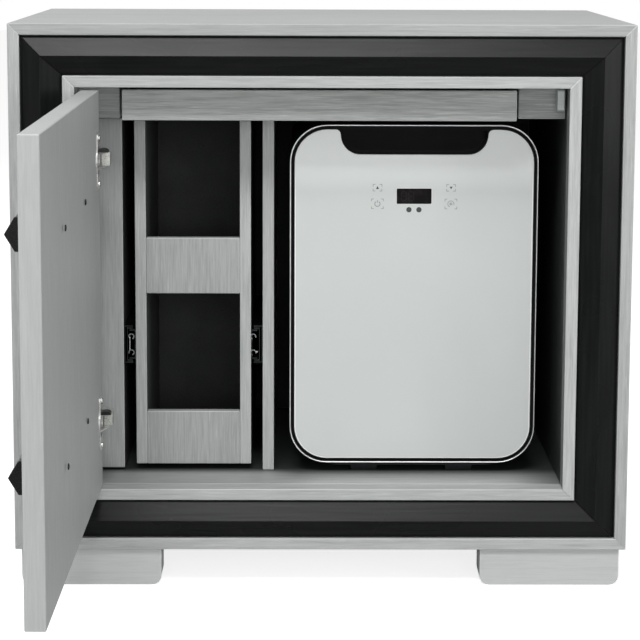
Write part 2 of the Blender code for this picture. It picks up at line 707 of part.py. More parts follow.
def slide_members(stem, start, depth, height, opens_in, parent):
    """The same slide member on both sides of the rack. The member's web is at start from the wall
    that carries the slide, or, where it opens back to that wall, its flanges' tips are."""
    walls = (("left", FILLER_EDGE_X + SEAT_GAP, 1), ("right", DIVIDER_LEFT_X - SEAT_GAP, -1))
    for side, wall, way in walls:
        near = wall + way * start
        far = near + way * depth
        web, tip = (near, far) if opens_in else (far, near)
        section = channel(web, tip, RACK_SLIDE_Z, height)
        shape = prism_y(section, RACK_SLIDE_START, RACK_SLIDE_START + RACK_SLIDE_LENGTH)
        soften(add_piece(stem + "_" + side, shape, "steel", parent), SMALL_ROUND / 2)


def build_slides(cabinet, rack_middles, rack):
    """Full-extension slides beside the rack, in three members each."""
    step = 2 * (SLIDE_FLANGE + RUN_GAP)
    height = RACK_SLIDE_HEIGHT
    slide_members("rack_slide_outer", 0, RACK_OUTER_DEPTH, height, True, cabinet)
    slide_members("rack_slide_middle", RACK_MIDDLE_START, RACK_MIDDLE_DEPTH, height - step, True,
                  rack_middles)
    inner_start = RACK_SLIDE_THICK - RACK_INNER_DEPTH
    slide_members("rack_slide_inner", inner_start, RACK_INNER_DEPTH, height - 2 * step, False, rack)


def build_tray(tray):
    """Tray front and the shallow box behind it, with a groove for each runner."""
    board("tray_front", (TRAY_LEFT_X, TRAY_SETBACK, TRAY_BOTTOM),
          (TRAY_RIGHT_X, TRAY_SETBACK + TRAY_FRONT_THICK, TRAY_BOTTOM + TRAY_FRONT_HEIGHT), tray)
    front = RAIL_SETBACK
    rear = front + TRAY_BOX_DEPTH
    high = TRAY_BOX_LOW + TRAY_BOX_HEIGHT
    box = board("tray_box", (TRAY_BOX_X[0], front, TRAY_BOX_LOW), (TRAY_BOX_X[1], rear, high), tray)
    hollow = box_shape(
        (TRAY_BOX_X[0] + TRAY_WALL, front + TRAY_WALL, TRAY_BOX_LOW + TRAY_BASE),
        (TRAY_BOX_X[1] - TRAY_WALL, rear - TRAY_WALL, high + CUT_OVERRUN),
    )
    cut(box, hollow)
    groove_half = RUNNER_HEIGHT / 2 + RUN_GAP
    for tip, way in ((RUNNER_TIPS[0], 1), (RUNNER_TIPS[1], -1)):
        left, right = sorted((tip + way * RUN_GAP, tip - way * (RUNNER_BITE + CUT_OVERRUN)))
        cut(box, box_shape((left, RUNNER_START - RUN_GAP, RUNNER_Z - groove_half),
                           (right, rear + CUT_OVERRUN, RUNNER_Z + groove_half)))


def build_rack(rack):
    """Two-tier rack: sides, front boards, floors and back."""
    front = RACK_SETBACK
    rear = front + RACK_DEPTH
    for x, name in ((RACK_X[0], "rack_left_side"), (RACK_X[1] - RACK_BOARD, "rack_right_side")):
        board(name, (x, front, RACK_BOTTOM), (x + RACK_BOARD, rear, RACK_TOP), rack)

    left, right = RACK_INNER_X
    back_front = rear - RACK_BACK_THICK
    board("rack_back", (left, back_front, RACK_BOTTOM), (right, rear, RACK_TOP), rack, "black_matt",
          SMALL_ROUND)

    floor_front = front + RACK_FRONT_THICK + SEAT_GAP
    tiers = (("lower", RACK_BOTTOM, RACK_LOWER_FRONT), ("upper", RACK_UPPER_BOTTOM, RACK_UPPER_FRONT))
    for tier, low, height in tiers:
        rear_of_front = front + RACK_FRONT_THICK
        board("rack_" + tier + "_front", (left, front, low), (right, rear_of_front, low + height), rack)
        board("rack_" + tier + "_floor", (left, floor_front, low),
              (right, back_front - SEAT_GAP, low + RACK_FLOOR_THICK), rack, "black_matt", SMALL_ROUND)


def build_door(door):
    """Door panel with cup bores, bar handles and hinge cups. Given closed; the carrier turns it."""
    def from_pivot(x, y, z=0):
        return (x - PIVOT_X, y - PIVOT_Y, z)

    panel = board("door_panel", from_pivot(-DOOR_X, DOOR_SETBACK, DOOR_LOW),
                  from_pivot(DOOR_X, DOOR_INNER, DOOR_HIGH), door)
    cup_x = -DOOR_X + CUP_FROM_EDGE
    cup_place = from_pivot(cup_x, DOOR_INNER)
    for name, height in HINGE_HEIGHTS.items():
        middle = (cup_place[0], height)
        bore = circle(middle, CUP_RADIUS + SEAT_GAP, ROUND_STEPS)
        inner = cup_place[1]
        cut(panel, prism_y(bore, inner - CUP_DEPTH - SEAT_GAP, inner + CUT_OVERRUN))
        build_cup("hinge_cup_" + name, middle, inner, door)

    reach = DOOR_SETBACK - SEAT_GAP
    for name, height in HANDLE_HEIGHTS.items():
        half = HANDLE_HEIGHT / 2
        shoulder = -HANDLE_FLAT
        outline = [(0, -half), (shoulder, -half), (-HANDLE_REACH, 0), (shoulder, half), (0, half)]
        bar = prism_x(outline, -HANDLE_LENGTH / 2, HANDLE_LENGTH / 2)
        handle = add_piece("handle_" + name, bar, "black_matt", door, from_pivot(0, reach, height))
        soften(handle, SMALL_ROUND * 2, 2, 30)


def build_cup(name, middle, inner, door):
    """A steel hinge cup: flange on the door's inner face, cup in the bore, and two cheeks that
    take the arm's tip between them."""
    flange = rounded_rectangle(CUP_FLANGE_WIDTH / 2, CUP_FLANGE_LENGTH / 2, CUP_FLANGE_CORNER,
                               SMALL_STEPS, middle)
    flange_front = inner + SEAT_GAP
    flange_rear = flange_front + CUP_FLANGE_THICK
    bottom = inner - CUP_DEPTH
    cup = add_piece(name, prism_y(flange, flange_front, flange_rear), "steel", door, smooth_deg=30)
    weld(cup, prism_y(circle(middle, CUP_RADIUS, ROUND_STEPS), bottom, flange_rear))
    hollow = circle(middle, CUP_RADIUS - CUP_WALL, ROUND_STEPS)
    cut(cup, prism_y(hollow, bottom + CUP_WALL, flange_rear + CUT_OVERRUN))
    past_edge = DOOR_PAST_X - PIVOT_X
    low = inner + SEAT_GAP
    high = low + CHEEK_RISE
    half = CHEEK_LENGTH / 2
    outline = [
        (past_edge, low), (middle[0] - half, low), (middle[0] - half, bottom + CUP_WALL / 2),
        (middle[0] + half, bottom + CUP_WALL / 2), (middle[0] + half, low),
        (past_edge + CHEEK_TIP, high), (past_edge, high),
    ]
    for side in (-1, 1):
        near = middle[1] + side * (ARM_WIDTH / 2 + SEAT_GAP)
        weld(cup, prism_z(outline, near, near + side * CHEEK_THICK))


def build_hinge_arms(cabinet):
    """The cabinet half of each hinge: a plate on the bay's wall and a cranked arm."""
    wall = -OPEN_X + SEAT_GAP
    arm_left = wall + PLATE_THICK
    arm_right = arm_left + ARM_THICK
    tip_right = ARM_TIP_LEFT_X + ARM_TIP_THICK
    tip_rear = ARM_SET_FRONT + ARM_TIP_LENGTH
    crank_rear = tip_rear + ARM_CRANK_LENGTH
    outline = [
        (arm_left - PLATE_THICK / 2, ARM_REAR), (arm_left - PLATE_THICK / 2, crank_rear),
        (arm_left, crank_rear), (ARM_TIP_LEFT_X, tip_rear),
        (ARM_TIP_LEFT_X, ARM_SET_FRONT + ARM_TIP_CUT), (ARM_TIP_LEFT_X + ARM_TIP_CUT, ARM_SET_FRONT),
        (tip_right, ARM_SET_FRONT), (tip_right, tip_rear + ARM_CRANK_LENGTH / 2),
        (arm_right, crank_rear + ARM_CRANK_LENGTH), (arm_right, ARM_REAR),
    ]
    plate_middle_y = ARM_REAR - PLATE_LENGTH / 2
    for name, height in HINGE_HEIGHTS.items():
        half = ARM_WIDTH / 2
        arm = add_piece("hinge_arm_" + name, prism_z(outline, height - half, height + half), "steel", cabinet)
        plate = rounded_rectangle(PLATE_LENGTH / 2, PLATE_HEIGHT / 2, PLATE_CORNER, SMALL_STEPS,
                                  (plate_middle_y, height))
        weld(arm, prism_x(plate, wall, arm_left))


def cooler_outline(inset, steps=CORNER_STEPS):
    """The cooler's front outline, drawn in by an inset."""
    half_x = COOLER_WIDTH / 2 - inset
    half_z = COOLER_HEIGHT / 2 - inset
    return rounded_rectangle(half_x, half_z, COOLER_CORNER - inset, steps, (0, COOLER_MIDDLE))


def notch_outline(inset):
    """The hand notch below the top edge, from its right shoulder round to its left one."""
    top = COOLER_MIDDLE + GLASS_HALF_Z
    half = NOTCH_HALF - inset
    lip_z = top - NOTCH_LIP
    deep = NOTCH_DEPTH - NOTCH_LIP - inset
    right = arc((half - deep, lip_z), deep, 0, -90, CORNER_STEPS)
    return right + [(-x, z) for x, z in right[::-1]]


def glass_outline():
    """The glass panel: the front outline drawn in, with the hand notch in its top edge."""
    corners = rounded_rectangle(GLASS_HALF_X, GLASS_HALF_Z, GLASS_CORNER, CORNER_STEPS, (0, COOLER_MIDDLE))
    per_corner = CORNER_STEPS + 1
    right_side = corners[:2 * per_corner]
    left_side = corners[2 * per_corner:]
    top = COOLER_MIDDLE + GLASS_HALF_Z
    shoulder = arc((NOTCH_HALF + NOTCH_LIP, top - NOTCH_LIP), NOTCH_LIP, 90, 180, SMALL_STEPS)
    left_shoulder = [(-x, z) for x, z in shoulder[::-1]]
    return right_side + shoulder[:-1] + notch_outline(0) + left_shoulder[1:] + left_side


def build_cooler_door(door):
    """Cooler door: shell with glass seat and finger recess, trim ring, glass, display and seal.
    Given in the cooler's frame; the carrier stands on the door's pivot."""
    back = (-LUG_X, -LUG_Y, 0)
    step = RING_DEPTH + SEAT_GAP
    shell = add_piece("cooler_door", prism_y(cooler_outline(0), step, COOLER_DOOR_DEPTH),
                      "black_gloss", door, back, 40)
    weld(shell, prism_y(cooler_outline(RING_WIDTH + SEAT_GAP), BAND_SET, COOLER_DOOR_DEPTH - step), back)
    cut(shell, prism_y(cooler_outline(GLASS_INSET - SEAT_GAP), -CUT_OVERRUN, GLASS_SEAT), back)
    top = COOLER_MIDDLE + GLASS_HALF_Z - FINGER_INSET
    half = NOTCH_HALF - FINGER_INSET
    pocket = [(half, top)] + notch_outline(FINGER_INSET) + [(-half, top)]
    cut(shell, prism_y(pocket, 0, FINGER_DEPTH), back)
    for height in LUG_HEIGHTS:
        slot = LUG_HEIGHT / 2 + 2 * SEAT_GAP
        notch = box_shape(
            (LUG_X - LUG_HALF_WIDTH - LUG_NOTCH_SIDE, LUG_NOTCH_FRONT, height - slot),
            (COOLER_WIDTH / 2 + CUT_OVERRUN, COOLER_DOOR_DEPTH + CUT_OVERRUN, height + slot),
        )
        cut(shell, notch, back)
        bore = circle((LUG_X, LUG_Y), LUG_PIN_RADIUS + SEAT_GAP, PIN_STEPS)
        reach = LUG_HEIGHT / 2 + LUG_PIN_REACH + SEAT_GAP
        cut(shell, prism_z(bore, height - reach, height + reach), back)

    ring = add_piece("cooler_trim_ring", prism_y(cooler_outline(0), 0, RING_DEPTH), "bright_trim",
                     door, back, 40)
    cut(ring, prism_y(cooler_outline(RING_WIDTH), -CUT_OVERRUN, RING_DEPTH + CUT_OVERRUN), back)

    glass = add_piece("cooler_glass", prism_y(glass_outline(), GLASS_SET, GLASS_SET + GLASS_THICK),
                      "pale_glass", door, back)
    soften(glass, SMALL_ROUND)
    display_z = COOLER_LIFT + COOLER_HEIGHT - DISPLAY_BELOW_TOP
    window = rounded_rectangle(DISPLAY_WIDTH / 2, DISPLAY_HEIGHT / 2, DISPLAY_CORNER, SMALL_STEPS,
                               (0, display_z))
    cut(glass, prism_y(window, -CUT_OVERRUN, GLASS_SEAT + CUT_OVERRUN), back)
    module = rounded_rectangle(DISPLAY_WIDTH / 2 - SEAT_GAP, DISPLAY_HEIGHT / 2 - SEAT_GAP,
                               DISPLAY_CORNER, SMALL_STEPS, (0, display_z))
    add_piece("cooler_display", prism_y(module, DISPLAY_SET, GLASS_SET + GLASS_THICK), "black_gloss",
              door, back)

    build_seal(door, back)


def build_seal(door, back):
    """The door's soft seal: a ring with a waist, between the door and the liner's flange."""
    half_x = CAVITY_WIDTH / 2 + SEAL_PAST_CAVITY
    half_z = CAVITY_HEIGHT / 2 + SEAL_PAST_CAVITY
    corner = CAVITY_CORNER + SEAL_PAST_CAVITY

    def ring(inset, front, rear):
        outline = rounded_rectangle(half_x - inset, half_z - inset, corner - inset,
                                    SMALL_STEPS * 2, (0, COOLER_MIDDLE))
        return prism_y(outline, front, rear)

    seal = add_piece("cooler_seal", ring(0, SEAL_START, SEAL_START + SEAL_DEPTH), "rubber", door, back, 40)
    cut(seal, ring(SEAL_WIDTH, SEAL_START - CUT_OVERRUN, FLANGE_START + CUT_OVERRUN), back)


def build_cooler_body(cooler):
    """Cooler housing with its cavity, liner, shelf, rear chamber, cover, inlet and base."""
    housing = add_piece("cooler_housing", prism_y(cooler_outline(HOUSING_INSET), HOUSING_START, HOUSING_END),
                        "black_matt", cooler, smooth_deg=40)
    cavity = rounded_rectangle(CAVITY_WIDTH / 2, CAVITY_HEIGHT / 2, CAVITY_CORNER, SMALL_STEPS,
                               (0, COOLER_MIDDLE))
    cut(housing, prism_y(cavity, HOUSING_START - CUT_OVERRUN, CAVITY_END))
    chamber_middle = (0, CHAMBER_MIDDLE)
    chamber = rounded_rectangle(CHAMBER_WIDTH / 2, CHAMBER_HEIGHT / 2, CHAMBER_CORNER, SMALL_STEPS,
                                chamber_middle)
    cut(housing, prism_y(chamber, CHAMBER_START, HOUSING_END + CUT_OVERRUN))
    lap = COVER_LAP + SEAT_GAP
    rebate = rounded_rectangle(CHAMBER_WIDTH / 2 + lap, CHAMBER_HEIGHT / 2 + lap, CHAMBER_CORNER + lap,
                               SMALL_STEPS, chamber_middle)
    cut(housing, prism_y(rebate, COVER_START - SEAT_GAP, HOUSING_END + CUT_OVERRUN))
    axle = circle(chamber_middle, AXLE_RADIUS, PIN_STEPS)
    weld(housing, prism_y(axle, CHAMBER_START - CUT_OVERRUN, FAN_START + AXLE_BITE))
    inlet_middle = (INLET_X, INLET_MIDDLE)
    pocket = rounded_rectangle(INLET_WIDTH / 2 + SEAT_GAP, INLET_HEIGHT / 2 + SEAT_GAP, INLET_CORNER,
                               SMALL_STEPS, inlet_middle)
    cut(housing, prism_y(pocket, HOUSING_END - INLET_DEPTH - SEAT_GAP, HOUSING_END + CUT_OVERRUN))
    build_lugs(housing)

    build_liner(cooler)
    build_shelf(cooler)
    build_cover(cooler)
    build_fan(cooler)
    build_inlet(cooler)
    build_base(cooler)


def build_liner(cooler):
    """White inner liner: a tub with a front flange and two ledges for the shelf."""
    half_x = CAVITY_WIDTH / 2 - SEAT_GAP
    half_z = CAVITY_HEIGHT / 2 - SEAT_GAP

    def tub(grow, front, rear):
        outline = rounded_rectangle(half_x + grow, half_z + grow, CAVITY_CORNER + grow, SMALL_STEPS,
                                    (0, COOLER_MIDDLE))
        return prism_y(outline, front, rear)

    flange_rear = FLANGE_START + LINER_FLANGE_THICK
    rear = CAVITY_END - SEAT_GAP
    liner = add_piece("cooler_liner", tub(LINER_FLANGE, FLANGE_START, flange_rear), "white_plastic",
                      cooler, smooth_deg=40)
    weld(liner, tub(0, FLANGE_START + LINER_FLANGE_THICK / 2, rear))
    cut(liner, tub(-LINER_THICK, FLANGE_START - CUT_OVERRUN, rear - LINER_THICK))
    wall = half_x - LINER_THICK
    ledge_high = COOLER_MIDDLE + LEDGE_ABOVE_MIDDLE
    rear = SHELF_FRONT + SHELF_DEPTH
    for side in (-1, 1):
        near, far = sorted((side * (wall - LEDGE_REACH), side * (wall + LINER_THICK / 2)))
        weld(liner, box_shape((near, SHELF_FRONT, ledge_high - LEDGE_THICK), (far, rear, ledge_high)))


def build_shelf(cooler):
    """Removable shelf: a slotted plate with a front lip, on the liner's ledges."""
    half = CAVITY_WIDTH / 2 - SEAT_GAP - LINER_THICK - SHELF_SIDE_GAP
    low = COOLER_MIDDLE + LEDGE_ABOVE_MIDDLE + SEAT_GAP
    high = low + SHELF_THICK
    front = SHELF_FRONT
    rear = front + SHELF_DEPTH
    outline = [(front, low), (rear, low), (rear, high), (front + SHELF_THICK, high),
               (front + SHELF_THICK, high + SHELF_LIP), (front, high + SHELF_LIP)]
    shelf = add_piece("cooler_shelf", prism_x(outline, -half, half), "white_plastic", cooler)
    soften(shelf, SMALL_ROUND)
    span = 2 * (half - SHELF_MARGIN)
    pitch = (span - SHELF_SLOT_WIDTH) / (SHELF_SLOTS - 1)
    slots = []
    for i in range(SHELF_SLOTS):
        left = -span / 2 + i * pitch
        slots.append(box_shape((left, front + SHELF_MARGIN, low - CUT_OVERRUN),
                               (left + SHELF_SLOT_WIDTH, rear - SHELF_MARGIN, high + CUT_OVERRUN)))
    cut(shelf, merge_shapes(slots))


def build_cover(cooler):
    """Rear cover with a round fan grille of upright slots and a row of intake slots."""
    cover_x = CHAMBER_WIDTH / 2 + COVER_LAP
    cover_z = CHAMBER_HEIGHT / 2 + COVER_LAP
    middle = (0, CHAMBER_MIDDLE)
    outline = rounded_rectangle(cover_x, cover_z, CHAMBER_CORNER + COVER_LAP, SMALL_STEPS, middle)
    cover = add_piece("cooler_rear_cover", prism_y(outline, COVER_START, HOUSING_END), "black_matt", cooler)
    front = COVER_START - CUT_OVERRUN
    rear = HOUSING_END + CUT_OVERRUN
    slots = []
    for i in range(GRILLE_SLOTS):
        x = (i - (GRILLE_SLOTS - 1) / 2) * GRILLE_PITCH
        half = math.sqrt(GRILLE_RADIUS ** 2 - x ** 2)
        slots.append(box_shape((x - GRILLE_SLOT / 2, front, CHAMBER_MIDDLE - half),
                               (x + GRILLE_SLOT / 2, rear, CHAMBER_MIDDLE + half)))
    for i in range(INTAKE_SLOTS):
        x = (i - (INTAKE_SLOTS - 1) / 2) * GRILLE_PITCH
        high = CHAMBER_MIDDLE - INTAKE_BELOW_FAN + INTAKE_LENGTH / 2
        slots.append(box_shape((x - GRILLE_SLOT / 2, front, high - INTAKE_LENGTH),
                               (x + GRILLE_SLOT / 2, rear, high)))
    cut(cover, merge_shapes(slots))


def blade_shape(turn):
    """One fan blade: a thin plate whose pitch flattens from root to tip, about the fan's axis."""
    loops = []
    root = FAN_HUB_RADIUS - FAN_ROOT_SINK
    for i in range(BLADE_STEPS + 1):
        share = i / BLADE_STEPS
        radius = root + (FAN_RADIUS - root) * share
        pitch = math.radians(FAN_ROOT_DEG + (FAN_TIP_DEG - FAN_ROOT_DEG) * share)
        chord = FAN_CHORD_ROOT + (FAN_CHORD_TIP - FAN_CHORD_ROOT) * share
        along = Vector((math.cos(pitch), math.sin(pitch))) * chord / 2
        thick = Vector((-math.sin(pitch), math.cos(pitch))) * FAN_BLADE_THICK / 2
        loop = []
        for corner in (-along - thick, along - thick, along + thick, -along + thick):
            angle = turn + corner.x / radius
            loop.append((radius * math.cos(angle), corner.y, radius * math.sin(angle)))
        loops.append(loop)
    return loft(loops)


def build_fan(cooler):
    """The fan behind the grille, about its own axis."""
    axis = add_empty("cooler_fan_axis", (0, FAN_START, CHAMBER_MIDDLE), cooler)
    fan = add_piece("cooler_fan", prism_y(circle((0, 0), FAN_HUB_RADIUS, ROUND_STEPS), 0, FAN_HUB_DEPTH),
                    "black_matt", axis, smooth_deg=40)
    for i in range(FAN_BLADES):
        weld(fan, blade_shape(2 * math.pi * i / FAN_BLADES), (0, FAN_HUB_DEPTH / 2, 0))
    bore = circle((0, 0), AXLE_RADIUS + SEAT_GAP, PIN_STEPS)
    cut(fan, prism_y(bore, -CUT_OVERRUN, AXLE_BITE + SEAT_GAP))


def build_inlet(cooler):
    """Power inlet: a moulded block with a rim, a well and two round pins."""
    middle = (INLET_X, INLET_MIDDLE)

    def block(grow, front, rear):
        outline = rounded_rectangle(INLET_WIDTH / 2 + grow, INLET_HEIGHT / 2 + grow, INLET_CORNER + grow,
                                    SMALL_STEPS, middle)
        return prism_y(outline, front, rear)

    rim_front = HOUSING_END + SEAT_GAP
    rim_rear = rim_front + INLET_RIM_THICK
    inlet = add_piece("cooler_inlet", block(0, HOUSING_END - INLET_DEPTH, rim_rear), "black_matt", cooler)
    weld(inlet, block(INLET_RIM, rim_front, rim_rear))
    well = rounded_rectangle(INLET_WELL_WIDTH / 2, INLET_WELL_HEIGHT / 2, INLET_WELL_HEIGHT / 2 - SEAT_GAP,
                             SMALL_STEPS, middle)
    floor = rim_rear - INLET_WELL_DEPTH
    cut(inlet, prism_y(well, floor, rim_rear + CUT_OVERRUN))
    for side in (-1, 1):
        pin = circle((INLET_X + side * INLET_PIN_PITCH / 2, INLET_MIDDLE), INLET_PIN_RADIUS, PIN_STEPS)
        weld(inlet, prism_y(pin, floor - INLET_RIM_THICK, floor + INLET_PIN_LENGTH))


def build_base(cooler):
    """Moulded base under the cooler: a plate with four tapered pads that stand on the bay floor."""
    front = BASE_SET
    rear = HOUSING_END - BASE_REAR_SET
    middle_y = (front + rear) / 2
    plate_low = BASE_HIGH - BASE_THICK
    outline = rounded_rectangle(BASE_WIDTH / 2, (rear - front) / 2, BASE_CORNER, SMALL_STEPS, (0, middle_y))
    base = add_piece("cooler_base", prism_z(outline, plate_low, BASE_HIGH), "black_matt", cooler)
    for side in (-1, 1):
        for pad_y in (front + PAD_DEPTH / 2, rear - PAD_DEPTH / 2):
            place = (side * PAD_SPACING / 2, pad_y)
            foot = [
                [(place[0] + u * (PAD_WIDTH / 2 - taper), place[1] + v * (PAD_DEPTH / 2 - taper), z)
                 for u, v in ((-1, -1), (1, -1), (1, 1), (-1, 1))]
                for taper, z in ((PAD_TAPER, SEAT_GAP), (0, plate_low + BASE_THICK / 2))
            ]
            weld(base, loft(foot))


def build_lugs(housing):
    """The two hinge lugs on the housing's front, each with its upright pin."""
    round_end = arc((LUG_X, LUG_Y), LUG_HALF_WIDTH, 180, 360, CORNER_STEPS)
    rear = HOUSING_START + LUG_ROOT
    bar = round_end + [(LUG_X + LUG_HALF_WIDTH, rear), (LUG_X - LUG_HALF_WIDTH, rear)]
    pin = circle((LUG_X, LUG_Y), LUG_PIN_RADIUS, PIN_STEPS)
    for height in LUG_HEIGHTS:
        half = LUG_HEIGHT / 2
        weld(housing, prism_z(bar, height - half, height + half))
        weld(housing, prism_z(pin, height - half - LUG_PIN_REACH, height + half + LUG_PIN_REACH))


def main():
    """Build the whole piece, with every moving group on its own empty."""
    clear_scene()
    cabinet = add_empty("cabinet_frame", (0, FRONT_Y, 0))
    build_case(cabinet)
    build_feet(cabinet)
    build_dividers(cabinet)
    build_catch(cabinet)
    build_hinge_arms(cabinet)

    rack = add_empty("rack_carrier", (0, 0, 0), cabinet)
    rack_middles = add_empty("rack_middles_carrier", (0, 0, 0), cabinet)
    tray = add_empty("tray_carrier", (0, 0, 0), cabinet)
    build_slides(cabinet, rack_middles, rack)
    build_rack(rack)
    build_tray(tray)

    door = add_empty("door_pivot", (PIVOT_X, PIVOT_Y, 0), cabinet, -DOOR_OPEN_DEG)
    build_door(door)

    cooler = add_empty("cooler_carrier", (COOLER_X, COOLER_SETBACK, OPEN_LOW), cabinet)
    build_cooler_body(cooler)
    cooler_door = add_empty("cooler_door_pivot", (LUG_X, LUG_Y, 0), cooler)
    build_cooler_door(cooler_door)


main()
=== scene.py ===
"""Nightstand with cooler: the looks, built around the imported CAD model."""

import math

import bmesh
import bpy
from mathutils import Matrix, Vector

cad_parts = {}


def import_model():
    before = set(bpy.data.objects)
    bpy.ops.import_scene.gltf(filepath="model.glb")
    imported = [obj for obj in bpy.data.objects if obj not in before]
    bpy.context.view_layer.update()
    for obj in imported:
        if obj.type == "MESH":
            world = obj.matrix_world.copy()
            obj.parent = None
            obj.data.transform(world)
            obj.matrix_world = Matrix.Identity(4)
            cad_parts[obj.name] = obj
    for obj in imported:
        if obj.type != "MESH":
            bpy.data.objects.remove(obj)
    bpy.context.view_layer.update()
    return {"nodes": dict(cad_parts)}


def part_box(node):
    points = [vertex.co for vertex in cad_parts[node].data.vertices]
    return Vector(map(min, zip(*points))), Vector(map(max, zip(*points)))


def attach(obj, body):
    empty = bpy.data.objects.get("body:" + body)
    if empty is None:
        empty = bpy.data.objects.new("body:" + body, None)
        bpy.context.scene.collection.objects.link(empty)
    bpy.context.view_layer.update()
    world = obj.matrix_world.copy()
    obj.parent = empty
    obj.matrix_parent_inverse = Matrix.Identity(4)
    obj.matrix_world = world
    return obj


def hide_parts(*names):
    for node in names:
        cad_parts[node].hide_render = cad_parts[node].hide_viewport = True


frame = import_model()
NODES = frame["nodes"]
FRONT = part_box("face_frame_top")[0].y
window_low, window_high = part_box("cooler_display")
WINDOW_Z = (window_low.z + window_high.z) / 2


# ------------------------------------------------------------------- materials

def linear(code):
    """A colour written as six hex digits, as linear RGBA."""
    parts = [int(code[i:i + 2], 16) / 255 for i in (0, 2, 4)]
    return [p / 12.92 if p <= 0.04045 else ((p + 0.055) / 1.055) ** 2.4 for p in parts] + [1.0]


EDGE_REACH, EDGE_CORE = 0.0013, 0.0003    # where an edge's painted highlight starts, and is full


class Finish:
    """A material, with short calls that add nodes to its tree."""

    def __init__(self, name, **uniform):
        self.material = bpy.data.materials.new(name)
        self.material.use_nodes = True
        self.tree = self.material.node_tree
        self.shader = self.tree.nodes["Principled BSDF"]
        coordinates = self.tree.nodes.new("ShaderNodeTexCoord")
        self.place = coordinates.outputs["Object"]
        self.facing = coordinates.outputs["Normal"]
        for socket, value in uniform.items():
            self.shader.inputs[socket.replace("_", " ")].default_value = value

    def add(self, kind, feeds, **settings):
        node = self.tree.nodes.new(kind)
        for key, value in settings.items():
            setattr(node, key, value)
        for key, value in feeds.items():
            self.feed(node.inputs[key], value)
        return node

    def feed(self, socket, value):
        if isinstance(value, bpy.types.NodeSocket):
            self.tree.links.new(value, socket)
        else:
            socket.default_value = value

    def noise(self, stretch, detail=3.0, rough=0.55, shift=(0, 0, 0)):
        placed = self.add("ShaderNodeMapping", {"Vector": self.place, "Scale": stretch, "Location": shift})
        return self.add("ShaderNodeTexNoise", {"Vector": placed.outputs[0], "Scale": 1.0,
                                               "Detail": detail, "Roughness": rough}).outputs["Fac"]

    def span(self, value, low, high, to_low=0.0, to_high=1.0):
        return self.add("ShaderNodeMapRange", {"Value": value, "From Min": low, "From Max": high,
                                               "To Min": to_low, "To Max": to_high},
                        interpolation_type="SMOOTHSTEP").outputs[0]

    def math(self, kind, a, b=0.0):
        return self.add("ShaderNodeMath", {0: a, 1: b}, operation=kind).outputs[0]

    def mix(self, share, a, b, kind="MIX"):
        return self.add("ShaderNodeMix", {0: share, 6: a, 7: b}, data_type="RGBA",
                        blend_type=kind).outputs[2]

    def part(self, vector, axis):
        return self.add("ShaderNodeSeparateXYZ", {0: vector}).outputs[axis]

    def edges(self, box):
        """How near a point is to one of the edges of a box, from 0 to 1."""
        near = 0.0
        for axis in range(3):
            middle, half = (box[0][axis] + box[1][axis]) / 2, (box[1][axis] - box[0][axis]) / 2
            away = self.math("ABSOLUTE", self.math("SUBTRACT", self.part(self.place, axis), middle))
            near = self.math("ADD", near, self.span(away, half - EDGE_REACH, half - EDGE_CORE))
        return self.span(near, 1.1, 1.9)    # near in two of the three directions

    def bump(self, height, distance, strength=1.0):
        node = self.add("ShaderNodeBump", {"Height": height, "Distance": distance, "Strength": strength})
        self.feed(self.shader.inputs["Normal"], node.outputs[0])

    def colour(self, value):
        self.feed(self.shader.inputs["Base Color"], value)

    def roughness(self, value):
        self.feed(self.shader.inputs["Roughness"], value)


def stretch_along(axis, along, across):
    """Noise scales that draw the noise out along one axis."""
    return [along if i == axis else across for i in range(3)]


PORE, SCRATCH, EDGE_HIGHLIGHT_TONE = "8b8e8d", "d0d2d1", "dcdedd"
BAY_SHADE, UNDER_RACK_SHADE, FOOT_SHADOW_TONE = "5c5e5d", "4a4c4c", "1b1c1c"
# Shades on the bay's floor: from one x to another, with the share at the first and at the second
SHADE_LEFT = (-0.08, 0.02, 0.37, 0.0)
SHADE_RIGHT = (0.215, 0.285, 0.0, 0.8)
UNDER_RACK_X = (-0.07, -0.02, 0.0, 0.84)
UNDER_RACK_DEPTH = (0.010, 0.110)    # behind the cabinet's front


